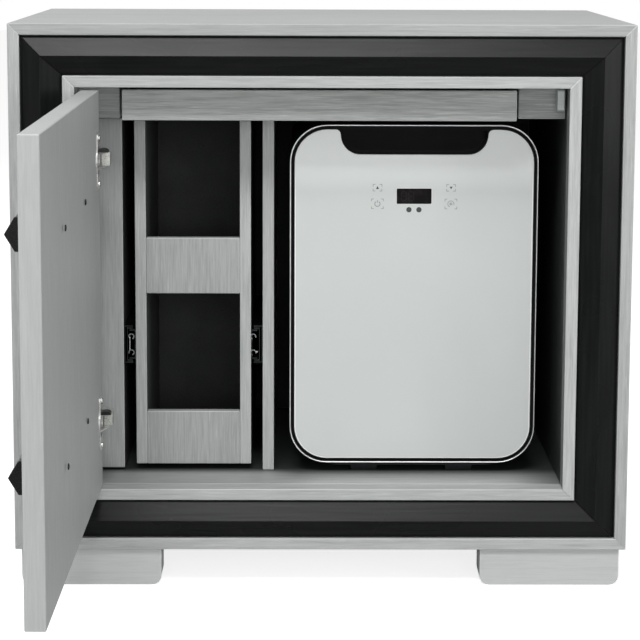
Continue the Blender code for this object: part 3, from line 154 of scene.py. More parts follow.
def brushed_wood(node_name, axis, light="bfc1c0", dark="acaead", mark=0.35, depth_shade=None, shaded=False,
                 lining_and_shade_axis=None, lining_and_shade_tone="505252", painted_foot_shadow=0.0, shift=0.0):
    """Grey wood with brushed grain along one axis, with a painted highlight at the node's edges.
    The depth shade (start, end, colour) is painted shade: it darkens the wood towards the colour over that
    depth of the bay, and shaded gives it the painted soft shade of what stands round it there. The lining
    axis is the axis whose two faces take a darker tone: a dark lining that also stands for painted shade
    in the bay's gaps. The foot height is the height of a painted shadow along the foot."""
    wood = Finish("grey_wood_" + node_name, Roughness=0.5, Specular_IOR_Level=0.25)
    moved = (shift, shift * 2, shift * 3)
    fine = wood.noise(stretch_along(axis, 34, 900), 3.0, 0.6, moved)
    lines = wood.noise(stretch_along(axis, 13, 330), 3.0, 0.55, moved)
    cloud = wood.noise(stretch_along(axis, 2.6, 16), 2.0, 0.5, moved)
    grain = wood.math("MULTIPLY", fine, 0.45)
    grain = wood.math("ADD", grain, wood.math("MULTIPLY", lines, 0.35))
    grain = wood.math("ADD", grain, wood.math("MULTIPLY", cloud, 0.2))
    tone = wood.mix(wood.span(grain, 0.38, 0.62), linear(dark), linear(light))
    pores = wood.span(lines, 0.40, 0.30, 0.0, mark)
    tone = wood.mix(pores, tone, linear(PORE))
    scratches = wood.span(fine, 0.62, 0.74, 0.0, mark)
    tone = wood.mix(scratches, tone, linear(SCRATCH))
    # Painted highlight: the node's edges are lighter, by a share that the cloud noise varies
    edge_highlight = wood.math("MULTIPLY", wood.edges(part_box(node_name)), wood.span(cloud, 0.25, 0.6, 0.25, 0.5))
    tone = wood.mix(edge_highlight, tone, linear(EDGE_HIGHLIGHT_TONE))
    across, depth = wood.part(wood.place, 0), wood.part(wood.place, 1)
    if shaded:
        tone = wood.mix(wood.span(across, *SHADE_LEFT), tone, linear(BAY_SHADE))
        tone = wood.mix(wood.span(across, *SHADE_RIGHT), tone, linear(BAY_SHADE))
        under = wood.math("MULTIPLY", wood.span(across, *UNDER_RACK_X),
                          wood.span(depth, *[FRONT + d for d in UNDER_RACK_DEPTH]))
        tone = wood.mix(under, tone, linear(UNDER_RACK_SHADE))
    # Painted shade: deeper in the bay the board darkens towards the given tone
    if depth_shade:
        tone = wood.mix(wood.span(depth, FRONT + depth_shade[0], FRONT + depth_shade[1]), tone, linear(depth_shade[2]))
    # The two faces along the lined axis take a darker tone: a dark lining that also stands for painted
    # shade in the bay's narrow gaps
    if lining_and_shade_axis is not None:
        sideways = wood.math("ABSOLUTE", wood.part(wood.facing, lining_and_shade_axis))
        tone = wood.mix(wood.span(sideways, 0.8, 0.95), tone, linear(lining_and_shade_tone))
    # Painted shadow: a dark strip along the board's foot, of the given height
    if painted_foot_shadow:
        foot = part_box(node_name)[0].z
        low = wood.span(wood.part(wood.place, 2), foot + 0.8 * painted_foot_shadow, foot + painted_foot_shadow, 1.0, 0.0)
        tone = wood.mix(low, tone, linear(FOOT_SHADOW_TONE))
    wood.colour(tone)
    wood.roughness(wood.span(fine, 0.3, 0.7, 0.56, 0.46))
    wood.bump(grain, 0.0002, 0.5)
    return wood.material


def black_lacquer(name, axis):
    """Black lacquered wood: the grain only just shows through the film."""
    film = Finish(name, Roughness=0.28, Specular_IOR_Level=0.13)
    grain = film.noise(stretch_along(axis, 12, 260), 3.0, 0.5)
    cloud = film.noise((9, 9, 9), 2.0)
    film.colour(film.mix(film.span(grain, 0.35, 0.65), linear("101111"), linear("171818")))
    film.roughness(film.span(cloud, 0.3, 0.7, 0.26, 0.31))
    film.bump(grain, 0.00012, 0.5)
    return film.material


def moulded(name, low, high, rough=0.5, grain=900, depth=0.00006, **uniform):
    """Moulded plastic or coated board with a fine even texture."""
    skin = Finish(name, Roughness=rough, **uniform)
    speck = skin.noise((grain, grain, grain), 2.0)
    cloud = skin.noise((14, 14, 14), 3.0)
    mixed = skin.math("ADD", skin.math("MULTIPLY", speck, 0.4), skin.math("MULTIPLY", cloud, 0.6))
    skin.colour(skin.mix(skin.span(mixed, 0.35, 0.65), linear(low), linear(high)))
    skin.roughness(skin.span(speck, 0.3, 0.7, rough + 0.06, rough - 0.06))
    skin.bump(speck, depth, 0.6)
    return skin.material


def metal(name, low, high, rough, axis=None, grain=800, share=1.0):
    """Metal with drawn or plated marks."""
    skin = Finish(name, Metallic=share, Roughness=rough)
    drawn = skin.noise((grain, grain, grain) if axis is None else stretch_along(axis, 20, grain), 3.0)
    cloud = skin.noise((60, 60, 60), 3.0)
    skin.colour(skin.mix(skin.span(cloud, 0.35, 0.65), linear(low), linear(high)))
    skin.roughness(skin.span(drawn, 0.3, 0.7, rough + 0.05, max(rough - 0.05, 0.05)))
    skin.bump(drawn, 0.00001, 0.3)
    return skin.material


def pale_glass():
    """Clear glass over a pale printed back, as the cooler's front has."""
    glass = Finish("panel_glass", Roughness=0.16, Specular_IOR_Level=0.4, Coat_Weight=0.35,
                   Coat_Roughness=0.04, IOR=1.5)
    cloud = glass.noise((5, 5, 5), 2.0)
    fleck = glass.noise((1400, 1400, 1400), 1.0)
    glass_tone = glass.mix(glass.span(cloud, 0.35, 0.65), linear("c9cdcb"), linear("cdd1cf"))
    # Painted light: the glass grows lighter towards its top, against the shade cast there from above
    upper = glass.span(glass.part(glass.place, 2), WINDOW_Z + 0.002, WINDOW_Z + 0.042)
    glass_tone = glass.mix(upper, glass_tone, linear("f6faf8"))
    glass.colour(glass.mix(glass.span(fleck, 0.62, 0.8, 0.0, 0.25), glass_tone, linear("d9dcdb")))
    glass.roughness(glass.span(cloud, 0.3, 0.7, 0.14, 0.18))
    return glass.material


def dark_window():
    """The smoked window over the display."""
    window = Finish("display_window", Roughness=0.12, Specular_IOR_Level=0.12)
    cloud = window.noise((120, 60, 60), 2.0)
    window.colour(window.mix(window.span(cloud, 0.4, 0.6), linear("131212"), linear("1d191a")))
    window.roughness(window.span(cloud, 0.3, 0.7, 0.10, 0.16))
    return window.material


# Painted shade deep in the bay: the boards darken from one depth behind the front to another, towards the
# tone
WALL_DEPTH_SHADE = (0.014, 0.068, "4a4c4c")
RIGHT_WALL_DEPTH_SHADE = (-0.020, 0.018, "2c2e2e")
FLOOR_DEPTH_SHADE = (0.068, 0.103, "303232")
# Painted shade: a darker copy of the grey wood for the rack's fronts
RACK_SHADED_TONES = {"light": "a9abaa", "dark": "969998"}
# Painted light and shade: the nodes' tones are lighter and darker copies of one grey wood, set by how much
# light falls on each board
WOODS = (
    # Painted shade: the top is a darker copy of the grey wood
    ("top_panel", 0, {"light": "afb1b0", "dark": "a0a2a1", "mark": 0.2}),
    ("bottom_panel face_frame_top face_frame_bottom", 0, {"light": "babcbb", "dark": "a8aaa9"}),
    ("left_panel face_frame_left", 2, {}),
    ("right_panel", 2, {"light": "b2b4b3", "dark": "a1a3a2"}),
    # Painted shade: the side faces of the right frame's reveal take a mid-grey tone
    ("face_frame_right", 2, {"lining_and_shade_axis": 0, "lining_and_shade_tone": "7a7c7b", "shift": 9.3}),
    ("door_panel", 2, {"light": "b3b5b4", "dark": "abadac", "mark": 0.06}),
    # Painted light and shade: the left feet are a lighter copy of the feet's wood, and the right feet a
    # darker one
    ("foot_front_left foot_rear_left", 0, {"light": "cdcfce", "dark": "c5c7c6", "mark": 0.08}),
    ("foot_front_right foot_rear_right", 0, {"light": "c2c4c3", "dark": "babcbb", "mark": 0.08}),
    # Painted shade: the tray's front and rails are darker copies of the grey wood
    ("tray_front", 0, {"light": "a9acaa", "dark": "8f9290", "mark": 0.5}),
    ("tray_rail_left tray_rail_right", 0, {"light": "9fa1a0", "dark": "858887", "mark": 0.3}),
    ("rack_lower_front rack_upper_front", 2, RACK_SHADED_TONES),
    ("rack_left_side rack_right_side", 2, {"light": "b4b6b5", "dark": "a0a3a2", "lining_and_shade_axis": 0}),
    # Painted shade: the divider's side faces take a mid-grey tone
    ("divider", 2, {"light": "b4b6b5", "dark": "a2a5a4", "lining_and_shade_axis": 0, "lining_and_shade_tone": "7a7c7c"}),
    # Painted shadow: a dark strip along the filler's foot
    ("rack_filler", 2, {"light": "adafae", "dark": "9c9f9e", "lining_and_shade_axis": 0, "painted_foot_shadow": 0.002}),
    ("bay_left_wall", 2, {"light": "b8bab9", "dark": "a6a8a7", "mark": 0.2, "depth_shade": WALL_DEPTH_SHADE}),
    ("bay_right_wall", 2, {"light": "b8bab9", "dark": "a6a8a7", "mark": 0.2, "depth_shade": RIGHT_WALL_DEPTH_SHADE}),
    # Painted light: the bay's floor is a lighter copy of the grey wood
    ("bay_floor", 0, {"light": "c6c8c7", "dark": "b6b8b7", "mark": 0.2, "depth_shade": FLOOR_DEPTH_SHADE,
                      "shaded": True}),
    ("bay_ceiling", 0, {"depth_shade": WALL_DEPTH_SHADE}),
)
lacquer_x = black_lacquer("moulding_black_across", 0)
lacquer_z = black_lacquer("moulding_black_upright", 2)
handle_black = moulded("handle_black", "101010", "171718", 0.3, 700, 0.00004, Specular_IOR_Level=0.2)
dark_board = moulded("dark_board", "303131", "3a3b3b", 0.62, 500, 0.00008, Specular_IOR_Level=0.2)
cup_steel = metal("hinge_cup_steel", "c6c7c5", "d2d3d1", 0.3, share=0.5)
arm_steel = metal("hinge_arm_steel", "bbbcb6", "c7c8c2", 0.3, share=0.5)
slide_steel = metal("slide_steel", "1f2021", "333536", 0.42, 1)
trim_bright = metal("trim_bright", "d0d2d1", "dcdedd", 0.36)
cooler_gloss = moulded("cooler_black_gloss", "0c0b0c", "131213", 0.2, 1200, 0.00001,
                       Specular_IOR_Level=0.05)
cooler_matt = moulded("cooler_black_matt", "1d1e20", "28292b", 0.55, 900, 0.00009,
                      Specular_IOR_Level=0.25)
white_plastic = moulded("white_plastic", "e2e4e4", "ecedec", 0.38, 600, 0.00004)
catch_plastic = moulded("catch_plastic", "a9b0ae", "b9bfbd", 0.35, 500, 0.00004)
rubber = moulded("seal_rubber", "3a3c3e", "4a4c4e", 0.75, 700, 0.0001)
damper_plastic = moulded("damper_plastic", "161616", "202020", 0.3, 700, 0.00004, Specular_IOR_Level=0.3)
window_dark = dark_window()

FINISHES = {
    lacquer_x: "moulding_top moulding_bottom",
    lacquer_z: "moulding_left moulding_right",
    handle_black: "handle_upper handle_lower",
    dark_board: "back_panel rack_back rack_lower_floor rack_upper_floor tray_box",
    cup_steel: "hinge_cup_upper hinge_cup_lower",
    arm_steel: "hinge_arm_upper hinge_arm_lower",
    slide_steel: "rack_slide_outer_left rack_slide_outer_right rack_slide_middle_left "
                 "rack_slide_middle_right rack_slide_inner_left rack_slide_inner_right",
    trim_bright: "cooler_trim_ring",
    pale_glass(): "cooler_glass",
    window_dark: "cooler_display",
    cooler_gloss: "cooler_door",
    cooler_matt: "cooler_housing cooler_rear_cover cooler_base cooler_inlet cooler_fan",
    white_plastic: "cooler_liner cooler_shelf",
    catch_plastic: "catch_block",
    rubber: "cooler_seal",
}


def dress(node_name, finish):
    """Give every material slot of a node the finish."""
    node = NODES[node_name]
    if not node.material_slots:
        node.data.materials.append(None)
    for place in node.material_slots:
        place.material = finish


for finish, names in FINISHES.items():
    for node_name in names.split():
        dress(node_name, finish)
for names, axis, tones in WOODS:
    for number, node_name in enumerate(names.split()):
        dress(node_name, brushed_wood(node_name, axis, **{"shift": 1.7 + 3.1 * number, **tones}))


# ----------------------------------------------------- pieces and their shapes

CROSS_DEPTH = 0.7    # of a screw head's height


def piece(name, mesh, finish, body, where=None):
    """An object of a mesh, put in place and riding on a body."""
    made = bpy.data.objects.new(name, mesh)
    bpy.context.scene.collection.objects.link(made)
    if where is not None:
        made.matrix_world = where
    if not mesh.materials:
        mesh.materials.append(finish)
    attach(made, body)
    return made


def lathe(profile, steps):
    """A closed mesh turned about Z. The profile runs as (radius, height), both ends on the axis."""
    mesh = bpy.data.meshes.new("turned")
    work = bmesh.new()
    rings = []
    for radius, height in profile:
        if radius == 0:
            rings.append([work.verts.new((0, 0, height))])
        else:
            turns = [math.tau * i / steps for i in range(steps)]
            rings.append([work.verts.new((radius * math.cos(t), radius * math.sin(t), height))
                          for t in turns])
    for first, second in zip(rings, rings[1:]):
        for i in range(steps):
            j = (i + 1) % steps
            corners = [first[i % len(first)], first[j % len(first)],
                       second[j % len(second)], second[i % len(second)]]
            work.faces.new(list(dict.fromkeys(corners)))
    bmesh.ops.recalc_face_normals(work, faces=work.faces)
    work.to_mesh(mesh)
    work.free()
    return mesh


def extrusion(outlines, low, high):
    """Closed outlines of (x, z) points, each extruded from y=low to y=high, in one mesh."""
    mesh = bpy.data.meshes.new("plate")
    work = bmesh.new()
    for outline in outlines:
        near = [work.verts.new((x, low, z)) for x, z in outline]
        far = [work.verts.new((x, high, z)) for x, z in outline]
        work.faces.new(near)
        work.faces.new(far[::-1])
        for i in range(len(outline)):
            j = (i + 1) % len(outline)
            work.faces.new((near[j], near[i], far[i], far[j]))
    bmesh.ops.recalc_face_normals(work, faces=work.faces)
    work.to_mesh(mesh)
    work.free()
    return mesh


def screw_head(radius, height):
    """A pan head with a cross recess, standing on z=0."""
    profile = [(0, -0.0002), (radius * 0.97, -0.0002), (radius, height * 0.12), (radius, height * 0.4),
               (radius * 0.9, height * 0.75), (radius * 0.62, height * 0.95), (0, height)]
    head = bpy.data.objects.new("head", lathe(profile, 28))
    cutter_mesh = bpy.data.meshes.new("cross")
    work = bmesh.new()
    for turn in (0, math.pi / 2):
        spin = Matrix.Rotation(turn, 4, "Z")
        size = Matrix.Diagonal((radius * 1.15, radius * 0.26, height, 1))
        lift = Matrix.Translation((0, 0, height * (1.5 - CROSS_DEPTH)))
        bmesh.ops.create_cube(work, size=1.0, matrix=spin @ lift @ size)
    work.to_mesh(cutter_mesh)
    work.free()
    cutter = bpy.data.objects.new("cross", cutter_mesh)
    for made in (head, cutter):
        bpy.context.scene.collection.objects.link(made)
    cut = head.modifiers.new("cross", "BOOLEAN")
    cut.operation = "DIFFERENCE"
    cut.solver = "EXACT"
    cut.use_self = True
    cut.object = cutter
    bpy.context.view_layer.update()
    mesh = bpy.data.meshes.new_from_object(head.evaluated_get(bpy.context.evaluated_depsgraph_get()))
    for made in (head, cutter):
        bpy.data.objects.remove(made)
    mesh.shade_smooth()
    mesh.set_sharp_from_angle(angle=math.radians(35))
    return mesh


def upright(point, direction, spin=0.0):
    """A place at a point with its Z along a direction."""
    turn = Vector(direction).to_track_quat("Z", "Y").to_matrix().to_4x4()
    return Matrix.Translation(point) @ turn @ Matrix.Rotation(spin, 4, "Z")


def disc(x, z, radius, steps=28):
    """The outline of a disc."""
    return [(x + radius * math.cos(math.tau * i / steps), z + radius * math.sin(math.tau * i / steps))
            for i in range(steps)]


def bar(x, z, length, width, turn=0.0):
    """The outline of a bar, turned about its middle."""
    c, s = math.cos(turn), math.sin(turn)
    half = [(-length / 2, -width / 2), (length / 2, -width / 2), (length / 2, width / 2),
            (-length / 2, width / 2)]
    return [(x + a * c - b * s, z + a * s + b * c) for a, b in half]


def hoop(x, z, radius, width, start, end, steps=22):
    """An open ring between two turns, as one outline."""
    turns = [start + (end - start) * i / steps for i in range(steps + 1)]
    outer, inner = ([(x + reach * math.cos(t), z + reach * math.sin(t)) for t in turns]
                    for reach in (radius + width / 2, radius - width / 2))
    return outer + inner[::-1]


def key_corners(x, z, half_x, half_z, reach=0.0030, width=0.0007):
    """Four corner marks round a key."""
    found = []
    for sx in (-1, 1):
        for sz in (-1, 1):
            a, b = x + sx * half_x, z + sz * half_z
            found.append([(a, b), (a - sx * reach, b), (a - sx * reach, b - sz * width),
                          (a - sx * width, b - sz * width), (a - sx * width, b - sz * reach),
                          (a, b - sz * reach)])
    return found


def pointed_bar(x, z, length, width, turn):
    """The outline of a bar whose ends come to a square point."""
    c, s = math.cos(turn), math.sin(turn)
    half, side = length / 2, width / 2
    points = [(-half, 0), (side - half, -side), (half - side, -side), (half, 0), (half - side, side),
              (side - half, side)]
    return [(x + a * c - b * s, z + a * s + b * c) for a, b in points]


def face_loops(node_name):
    """The closed outlines of a node's front face, each a list of (x, z), the outermost last."""
    mesh = NODES[node_name].data
    front = min(v.co.y for v in mesh.vertices)
    edges = {}
    for face in mesh.polygons:
        if face.normal.y < -0.9 and face.center.y < front + 0.0001:
            ends = [tuple(round(c, 6) for c in mesh.vertices[v].co.xz) for v in face.vertices]
            edges.update(dict.fromkeys(zip(ends, ends[1:] + ends[:1])))
    open_edges = {a: b for a, b in edges if (b, a) not in edges}
    loops = []
    while open_edges:
        start, here = open_edges.popitem()
        loop = [start]
        while here != start:
            loop.append(here)
            here = open_edges.pop(here)
        loops.append(loop)
    return sorted(loops, key=lambda loop: max(x for x, z in loop))


def moved_outline(loop, amount):
    """An outline moved to its right-hand side by an amount."""
    moved = []
    for i, here in enumerate(loop):
        before = Vector(here) - Vector(loop[i - 1])
        after = Vector(loop[(i + 1) % len(loop)]) - Vector(here)
        side = Vector((before.y, -before.x)).normalized() + Vector((after.y, -after.x)).normalized()
        side.normalize()
        reach = amount / max(side.dot(Vector((after.y, -after.x)).normalized()), 0.4)
        moved.append((here[0] + side.x * reach, here[1] + side.y * reach))
    return moved


def swept(loops, profile, front):
    """A closed profile of (inset, depth) points swept along each outline."""
    mesh = bpy.data.meshes.new("strip")
    work = bmesh.new()
    for loop in loops:
        rings = [[work.verts.new((x, front + depth, z)) for x, z in moved_outline(loop, -inset)]
                 for inset, depth in profile]
        for first, second in zip(rings, rings[1:] + rings[:1]):
            for i in range(len(loop)):
                j = (i + 1) % len(loop)
                work.faces.new((first[i], first[j], second[j], second[i]))
    bmesh.ops.recalc_face_normals(work, faces=work.faces)
    work.to_mesh(mesh)
    work.free()
    return mesh


# ----------------------------------------------- screws of the door and hinges

dark_screw = metal("dark_screw", "2c2c2d", "3d3d3e", 0.35)
bright_screw = metal("bright_screw", "d2d2ce", "ececea", 0.2)
door_inner_x, door_hinge_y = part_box("door_panel")[1].xy

HANDLE_SCREW_REACH = 0.1025     # from the handle's middle, along it
FLANGE_THICK = 0.0018
FLANGE_SCREW_Y = 0.024          # from the door's hinge edge
FLANGE_SCREW_SPREAD = 0.0255    # up and down from the hinge's middle
PLATE_THICK = 0.003
PLATE_SCREW_DEPTH = 0.062       # behind the cabinet's front
PLATE_SCREW_SPREAD = 0.0165
ARM_FACE = 0.014                # how far the arm's face stands off the wall
ARM_SCREW_DEPTHS = (0.052, 0.070)

# Handle screws, through the door from its inner face
handle_head = screw_head(0.0033, 0.0014)
number = 0
for node_name in ("handle_upper", "handle_lower"):
    low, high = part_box(node_name)
    middle = (low + high) / 2
    for side in (-1, 1):
        number += 1
        spot = Vector((door_inner_x, middle.y + side * HANDLE_SCREW_REACH, middle.z))
        piece(f"handle_screw_{number}", handle_head, dark_screw, "door",
              upright(spot, (1, 0, 0), number * 0.7))

# Hinge screws: two in each cup's flange, two in each plate, two on each arm
flange_head = screw_head(0.0036, 0.0016)
arm_head = screw_head(0.0030, 0.0012)
for which in ("upper", "lower"):
    low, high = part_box("hinge_cup_" + which)
    flange_x = door_inner_x + FLANGE_THICK
    middle_z = (low.z + high.z) / 2
    for k, side in enumerate((-1, 1)):
        spot = Vector((flange_x, door_hinge_y - FLANGE_SCREW_Y, middle_z + side * FLANGE_SCREW_SPREAD))
        piece(f"flange_screw_{which}_{k + 1}", flange_head, bright_screw, "door",
              upright(spot, (1, 0, 0), 0.5 + k))
    wall_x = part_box("hinge_arm_" + which)[0].x
    for k, side in enumerate((-1, 1)):
        spot = Vector((wall_x + PLATE_THICK, FRONT + PLATE_SCREW_DEPTH,
                       middle_z + side * PLATE_SCREW_SPREAD))
        piece(f"plate_screw_{which}_{k + 1}", flange_head, bright_screw, "cabinet",
              upright(spot, (1, 0, 0), 0.9 + k))
    for k, depth in enumerate(ARM_SCREW_DEPTHS):
        spot = Vector((wall_x + ARM_FACE, FRONT + depth, middle_z))
        piece(f"arm_screw_{which}_{k + 1}", arm_head, dark_screw, "cabinet",
              upright(spot, (1, 0, 0), 0.4 + k))


# ---------------------------------------------------- print and unlit segments

print_grey = moulded("print_grey", "7f8583", "898f8d", 0.5, 900, 0.00001)
print_dark = moulded("print_dark", "272c2b", "323736", 0.45, 900, 0.00001)
glass_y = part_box("cooler_glass")[0].y
window_x, window_y = (window_low.x + window_high.x) / 2, window_low.y
PRINT = (glass_y - 0.00008, glass_y + 0.0002)

DOT_RADIUS = 0.0031
DOT_DROP = 0.0157               # below the window's middle
DOTS_X = (-0.0059, 0.0057)
KEYS_X = (-0.0425, 0.0427)      # from the window's middle
KEY_RISE, KEY_DROP = 0.0099, 0.0089
ARROW_KEY = (0.0054, 0.0042)    # half width and half height of a key's corner marks
ICON_KEY = (0.0072, 0.0060)
ARROW_HALF = 0.0018
DIGITS_X = (-0.0118, -0.0034)
DIGIT_HALF_HEIGHT = 0.0052
DIGIT_HALF_WIDTH = 0.0029
SEGMENT_LONG, SEGMENT_SHORT, SEGMENT_WIDTH = 0.0044, 0.0040, 0.0009

dots = [disc(window_x + x, WINDOW_Z - DOT_DROP, DOT_RADIUS) for x in DOTS_X]
piece("indicator_dots", extrusion(dots, *PRINT), print_dark, "cooler_door")
left_x, right_x = window_x + KEYS_X[0], window_x + KEYS_X[1]
up_z, down_z = WINDOW_Z + KEY_RISE, WINDOW_Z - KEY_DROP
keys = []
for x in (left_x, right_x):
    keys += key_corners(x, up_z, *ARROW_KEY) + key_corners(x, down_z, *ICON_KEY)
# The left key's mark is a power sign, the right one's a part ring round a star
keys += [hoop(left_x, down_z, 0.0030, 0.0010, math.radians(125), math.radians(415)),
         bar(left_x, down_z + 0.0028, 0.0030, 0.0009, math.pi / 2),
         hoop(right_x, down_z, 0.0036, 0.0007, math.radians(-20), math.radians(250))]
keys += [bar(right_x, down_z, 0.0046, 0.0006, math.radians(turn)) for turn in (30, 90, 150)]
piece("touch_keys", extrusion(keys, *PRINT), print_grey, "cooler_door")
arrows = [[(left_x - ARROW_HALF, up_z - 0.0015), (left_x + ARROW_HALF, up_z - 0.0015),
           (left_x, up_z + 0.0019)],
          [(right_x - ARROW_HALF, up_z + 0.0014), (right_x + ARROW_HALF, up_z + 0.0014),
           (right_x, up_z - 0.0016)]]
piece("touch_arrows", extrusion(arrows, *PRINT), print_dark, "cooler_door")

segment_grey = moulded("unlit_segment", "1f1c1d", "252223", 0.2, 900, 0.00001, Specular_IOR_Level=0.1)
segments = []
for x in (window_x + DIGITS_X[0], window_x + DIGITS_X[1]):
    segments += [bar(x, WINDOW_Z + rise, SEGMENT_LONG, SEGMENT_WIDTH)
                 for rise in (-DIGIT_HALF_HEIGHT, 0, DIGIT_HALF_HEIGHT)]
    segments += [bar(x + dx, WINDOW_Z + dz, SEGMENT_SHORT, SEGMENT_WIDTH, math.pi / 2)
                 for dx in (-DIGIT_HALF_WIDTH, DIGIT_HALF_WIDTH)
                 for dz in (-DIGIT_HALF_HEIGHT / 2, DIGIT_HALF_HEIGHT / 2)]
piece("display_segments", extrusion(segments, window_y - 0.00006, window_y + 0.0002), segment_grey,
      "cooler_door")


# ---------------------------------------------- dampers, edges, ring and clips

DAMPER_RISE = 0.0101            # of its base over the hinge's middle
DAMPER_BASE = 0.0012            # height of the block under its hump
DAMPER_X = (-0.0040, 0.0126)    # from the door's inner face
DAMPER_Y = (-0.030, -0.018)     # from the door's hinge edge
HUMP_X, HUMP_HALF, HUMP_HEIGHT, HUMP_STEPS = 0.0066, 0.0060, 0.0033, 12

# A dark damper block in each hinge's cup, above the arm
for which in ("upper", "lower"):
    low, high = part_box("hinge_cup_" + which)
    base_z = (low.z + high.z) / 2 + DAMPER_RISE
    hump = [(door_inner_x + HUMP_X + HUMP_HALF * math.cos(t),
             base_z + DAMPER_BASE + HUMP_HEIGHT * math.sin(t))
            for t in [math.pi * i / HUMP_STEPS for i in range(HUMP_STEPS, -1, -1)]]
    outline = [(door_inner_x + DAMPER_X[1], base_z), (door_inner_x + DAMPER_X[0], base_z),
               (door_inner_x + DAMPER_X[0], base_z + DAMPER_BASE)] + hump
    block = extrusion([outline], door_hinge_y + DAMPER_Y[0], door_hinge_y + DAMPER_Y[1])
    piece("hinge_damper_" + which, block, damper_plastic, "door")

# The polished edge of the glass, round its outline and round the display window
EDGE_PROUD, EDGE_SUNK = -0.00006, 0.0001
edge_white = moulded("glass_edge", "eef0ef", "f6f7f7", 0.25, 900, 0.00001)
edge_grey = moulded("window_edge", "d2d5d4", "dcdedd", 0.25, 900, 0.00001)
glass_loops = face_loops("cooler_glass")
for name, loop, width, finish in (("glass_edge", glass_loops[-1], 0.0010, edge_white),
                                  ("window_edge", glass_loops[0], 0.0006, edge_grey)):
    flat_edge = [(0.0001, EDGE_SUNK), (0.0001, EDGE_PROUD), (width, EDGE_PROUD), (width, EDGE_SUNK)]
    piece(name, swept([loop], flat_edge, glass_y), finish, "cooler_door")

# The trim ring with its front edges rounded, in place of the plain one
ring_low, ring_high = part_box("cooler_trim_ring")
ring_depth = ring_high.y - ring_low.y
ring_round = [(0, ring_depth), (0, 0.0005), (0.0001, 0.0002), (0.0004, 0), (0.0011, 0), (0.0014, 0.0002),
              (0.0015, 0.0005), (0.0015, ring_depth)]
ring_mesh = swept(face_loops("cooler_trim_ring")[-1:], ring_round, ring_low.y)
ring_mesh.shade_smooth()
ring_mesh.set_sharp_from_angle(angle=math.radians(50))
ring = piece("trim_ring_rounded", ring_mesh, trim_bright, "cooler_door")
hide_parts("cooler_trim_ring")

# Stop clips and latches at the front of the rack's slides
CLIP_RISE, CLIP_X, CLIP_RADIUS, CLIP_WIDTH = 0.0095, 0.0012, 0.0030, 0.0011
CLIP_FRONT, LATCH_FRONT, CLIP_REAR = 0.0022, 0.0020, 0.0002    # before the slide's end
clip_steel = metal("clip_steel", "6c6e6f", "8d9091", 0.35)
for side_name, sign in (("left", 1), ("right", -1)):
    low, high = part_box("rack_slide_inner_" + side_name)
    middle_x, middle_z = (low.x + high.x) / 2, (low.z + high.z) / 2
    for end_name, rise in (("upper", CLIP_RISE), ("lower", -CLIP_RISE)):
        arc = hoop(middle_x - sign * CLIP_X, middle_z + rise, CLIP_RADIUS, CLIP_WIDTH,
                   math.radians(-70), math.radians(200), 20)
        if sign < 0:
            arc = [(2 * middle_x - x, z) for x, z in arc][::-1]
        clip = extrusion([arc], low.y - CLIP_FRONT, low.y - CLIP_REAR)
        piece(f"slide_clip_{side_name}_{end_name}", clip, clip_steel, "rack")
    latch = [disc(middle_x - sign * 0.0032, middle_z + sign * 0.0085, 0.0009, 12)]
    if sign > 0:
        latch.insert(0, bar(middle_x - sign * 0.0030, middle_z + 0.0005, 0.0150, 0.0008, math.pi / 2))
    piece(f"slide_latch_{side_name}", extrusion(latch, low.y - LATCH_FRONT, low.y - CLIP_REAR),
          bright_screw, "rack")


# ----------------------------------------------- mitre fillers and rear screws

# Filler in the mitred corners of the outer boards and of the inner frame
FILLER_WIDTH = 0.0014
FILLER_SHORTER = 0.0006         # than the mitre itself
FILLER_PROUD, FILLER_REAR = 0.00002, 0.0004
for set_name, left_node, right_node, low_node, high_node in (
        ("board", "left_panel", "right_panel", "bottom_panel", "top_panel"),
        ("frame", "face_frame_left", "face_frame_right", "face_frame_bottom", "face_frame_top")):
    finish = NODES[low_node].material_slots[0].material
    left_low, left_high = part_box(left_node)
    width = left_high.x - left_low.x
    length = width * math.sqrt(2) - FILLER_SHORTER
    near, far = left_low.y - FILLER_PROUD, left_high.y - FILLER_REAR
    low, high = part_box(low_node)[0].z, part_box(high_node)[1].z
    for x, sx, x_name in ((left_low.x, 1, "left"), (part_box(right_node)[1].x, -1, "right")):
        for z, sz, z_name in ((low, 1, "bottom"), (high, -1, "top")):
            outline = pointed_bar(x + sx * width / 2, z + sz * width / 2, length, FILLER_WIDTH,
                                  math.atan2(sz, sx))
            piece(f"{set_name}_mitre_{z_name}_{x_name}", extrusion([outline], near, far), finish,
                  "cabinet")

# Screws in the cooler's rear cover and in the cabinet's back panel
COVER_SCREW_INSET = 0.007
BACK_SCREW_INSET = 0.008
BACK_SCREWS_X = (-0.24, -0.08, 0.08, 0.24)
cover_low, cover_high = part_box("cooler_rear_cover")
cover_head = screw_head(0.0032, 0.0018)
number = 0
for x in (cover_low.x + COVER_SCREW_INSET, cover_high.x - COVER_SCREW_INSET):
    for z in (cover_low.z + COVER_SCREW_INSET, cover_high.z - COVER_SCREW_INSET):
        number += 1
        piece(f"cover_screw_{number}", cover_head, dark_screw, "cooler",
              upright((x, cover_high.y, z), (0, 1, 0), number * 0.6))
back_low, back_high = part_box("back_panel")
back_head = screw_head(0.0036, 0.0016)
number = 0
for x in BACK_SCREWS_X:
    for z in (back_low.z + BACK_SCREW_INSET, back_high.z - BACK_SCREW_INSET):
        number += 1
        piece(f"back_screw_{number}", back_head, bright_screw, "cabinet",
              upright((x, back_high.y, z), (0, 1, 0), number * 0.5))


# -------------------------------------------------------- floor, light, camera

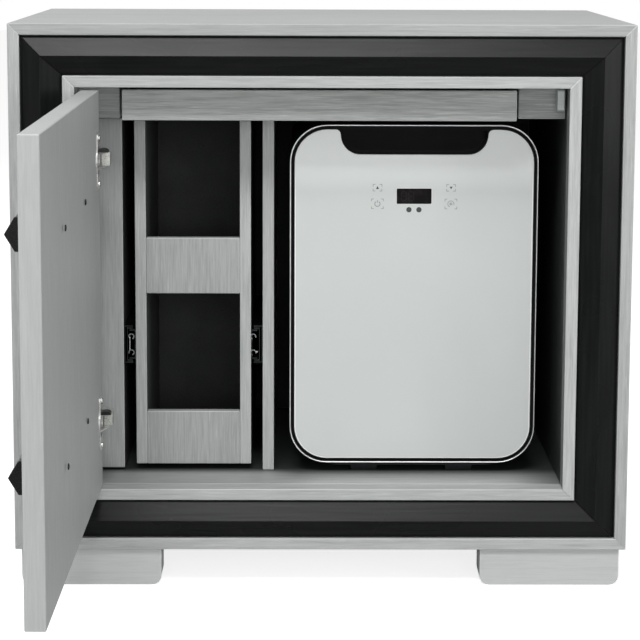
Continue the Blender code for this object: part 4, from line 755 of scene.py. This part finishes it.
FLOOR_HALF = 14.0
FLOOR_TONE, FLOOR_GLOW = "cfcfcf", 0.8
AMBIENT = 0.22
AIM = (0, FRONT, 0.35)
LIGHTS = (    # name, place, target, width and height, watts
    ("key", (-0.3, FRONT - 2.0, 3.1), AIM, (1.4, 0.8), 76),
    ("fill", (0.25, FRONT - 3.3, 0.95), AIM, (2.0, 1.0), 30),
    ("side", (2.5, FRONT - 1.2, 0.8), AIM, (1.0, 1.0), 13),
    ("rear", (-2.2, 2.7, 2.0), (0, 0.2, 0.35), (1.8, 1.4), 42),
)
CAMERA_PLACE = (-0.0253, FRONT - 2.5135, 0.7494)
CAMERA_DEGREES = (8.288, 0.530, 0.207)    # pitch down, yaw to the right, roll
LENS, LENS_SHIFT = 127.0, -0.1


def floor():
    """A white floor, white to the camera, which keeps a soft shadow of the object."""
    mesh = bpy.data.meshes.new("floor")
    mesh.from_pydata([(-FLOOR_HALF, -FLOOR_HALF, 0), (FLOOR_HALF, -FLOOR_HALF, 0),
                      (FLOOR_HALF, FLOOR_HALF, 0), (-FLOOR_HALF, FLOOR_HALF, 0)],
                     [], [(0, 1, 2, 3)])
    made = bpy.data.objects.new("floor", mesh)
    bpy.context.scene.collection.objects.link(made)
    white = bpy.data.materials.new("floor_white")
    white.use_nodes = True
    tree = white.node_tree
    tree.nodes.clear()
    out = tree.nodes.new("ShaderNodeOutputMaterial")
    lit = tree.nodes.new("ShaderNodeBsdfDiffuse")
    lit.inputs["Color"].default_value = linear(FLOOR_TONE)
    glow = tree.nodes.new("ShaderNodeEmission")
    glow.inputs["Strength"].default_value = FLOOR_GLOW
    both = tree.nodes.new("ShaderNodeAddShader")
    rays = tree.nodes.new("ShaderNodeLightPath")
    share = tree.nodes.new("ShaderNodeMixShader")
    tree.links.new(lit.outputs[0], both.inputs[0])
    tree.links.new(glow.outputs[0], both.inputs[1])
    tree.links.new(rays.outputs["Is Camera Ray"], share.inputs[0])
    tree.links.new(lit.outputs[0], share.inputs[1])
    tree.links.new(both.outputs[0], share.inputs[2])
    tree.links.new(share.outputs[0], out.inputs["Surface"])
    mesh.materials.append(white)


def world(level):
    """Plain ambient light, and white where the camera, a reflection or glass sees past the object."""
    made = bpy.data.worlds.new("studio")
    bpy.context.scene.world = made
    made.use_nodes = True
    tree = made.node_tree
    tree.nodes.clear()
    out = tree.nodes.new("ShaderNodeOutputWorld")
    ambient = tree.nodes.new("ShaderNodeBackground")
    ambient.inputs["Strength"].default_value = level
    seen = tree.nodes.new("ShaderNodeBackground")
    rays = tree.nodes.new("ShaderNodeLightPath")
    either = tree.nodes.new("ShaderNodeMath")
    either.operation = "MAXIMUM"
    any_of = tree.nodes.new("ShaderNodeMath")
    any_of.operation = "MAXIMUM"
    share = tree.nodes.new("ShaderNodeMixShader")
    for background in (ambient, seen):
        background.inputs["Color"].default_value = (1, 1, 1, 1)
    tree.links.new(rays.outputs["Is Camera Ray"], either.inputs[0])
    tree.links.new(rays.outputs["Is Glossy Ray"], either.inputs[1])
    tree.links.new(either.outputs[0], any_of.inputs[0])
    tree.links.new(rays.outputs["Is Transmission Ray"], any_of.inputs[1])
    tree.links.new(any_of.outputs[0], share.inputs[0])
    tree.links.new(ambient.outputs[0], share.inputs[1])
    tree.links.new(seen.outputs[0], share.inputs[2])
    tree.links.new(share.outputs[0], out.inputs["Surface"])


def soft_light(name, place, target, size, power):
    """A rectangular area light at a place, turned to a target."""
    lamp = bpy.data.lights.new(name, "AREA")
    lamp.shape = "RECTANGLE"
    lamp.size, lamp.size_y = size
    lamp.energy = power
    made = bpy.data.objects.new(name, lamp)
    bpy.context.scene.collection.objects.link(made)
    aim = (Vector(target) - Vector(place)).to_track_quat("-Z", "Y").to_matrix().to_4x4()
    made.matrix_world = Matrix.Translation(place) @ aim


def camera():
    """The camera that the photograph's edges fit, with a small lens shift."""
    pitch, yaw, roll = (math.radians(turn) for turn in CAMERA_DEGREES)
    forward = Vector((math.sin(yaw) * math.cos(pitch), math.cos(yaw) * math.cos(pitch), -math.sin(pitch)))
    right = Vector((math.cos(yaw), -math.sin(yaw), 0))
    up = right.cross(forward)
    rolled_right = right * math.cos(roll) + up * math.sin(roll)
    rolled_up = up * math.cos(roll) - right * math.sin(roll)
    data = bpy.data.cameras.new("photo_camera")
    data.lens = LENS
    data.sensor_width = 36
    data.shift_y = LENS_SHIFT
    data.clip_start = 0.05
    data.clip_end = 60
    made = bpy.data.objects.new("photo_camera", data)
    bpy.context.scene.collection.objects.link(made)
    turn = Matrix((rolled_right, rolled_up, -forward)).transposed().to_4x4()
    made.matrix_world = Matrix.Translation(CAMERA_PLACE) @ turn
    bpy.context.scene.camera = made


floor()
world(AMBIENT)
for light in LIGHTS:
    soft_light(*light)
camera()
bpy.context.scene.view_settings.view_transform = "Standard"
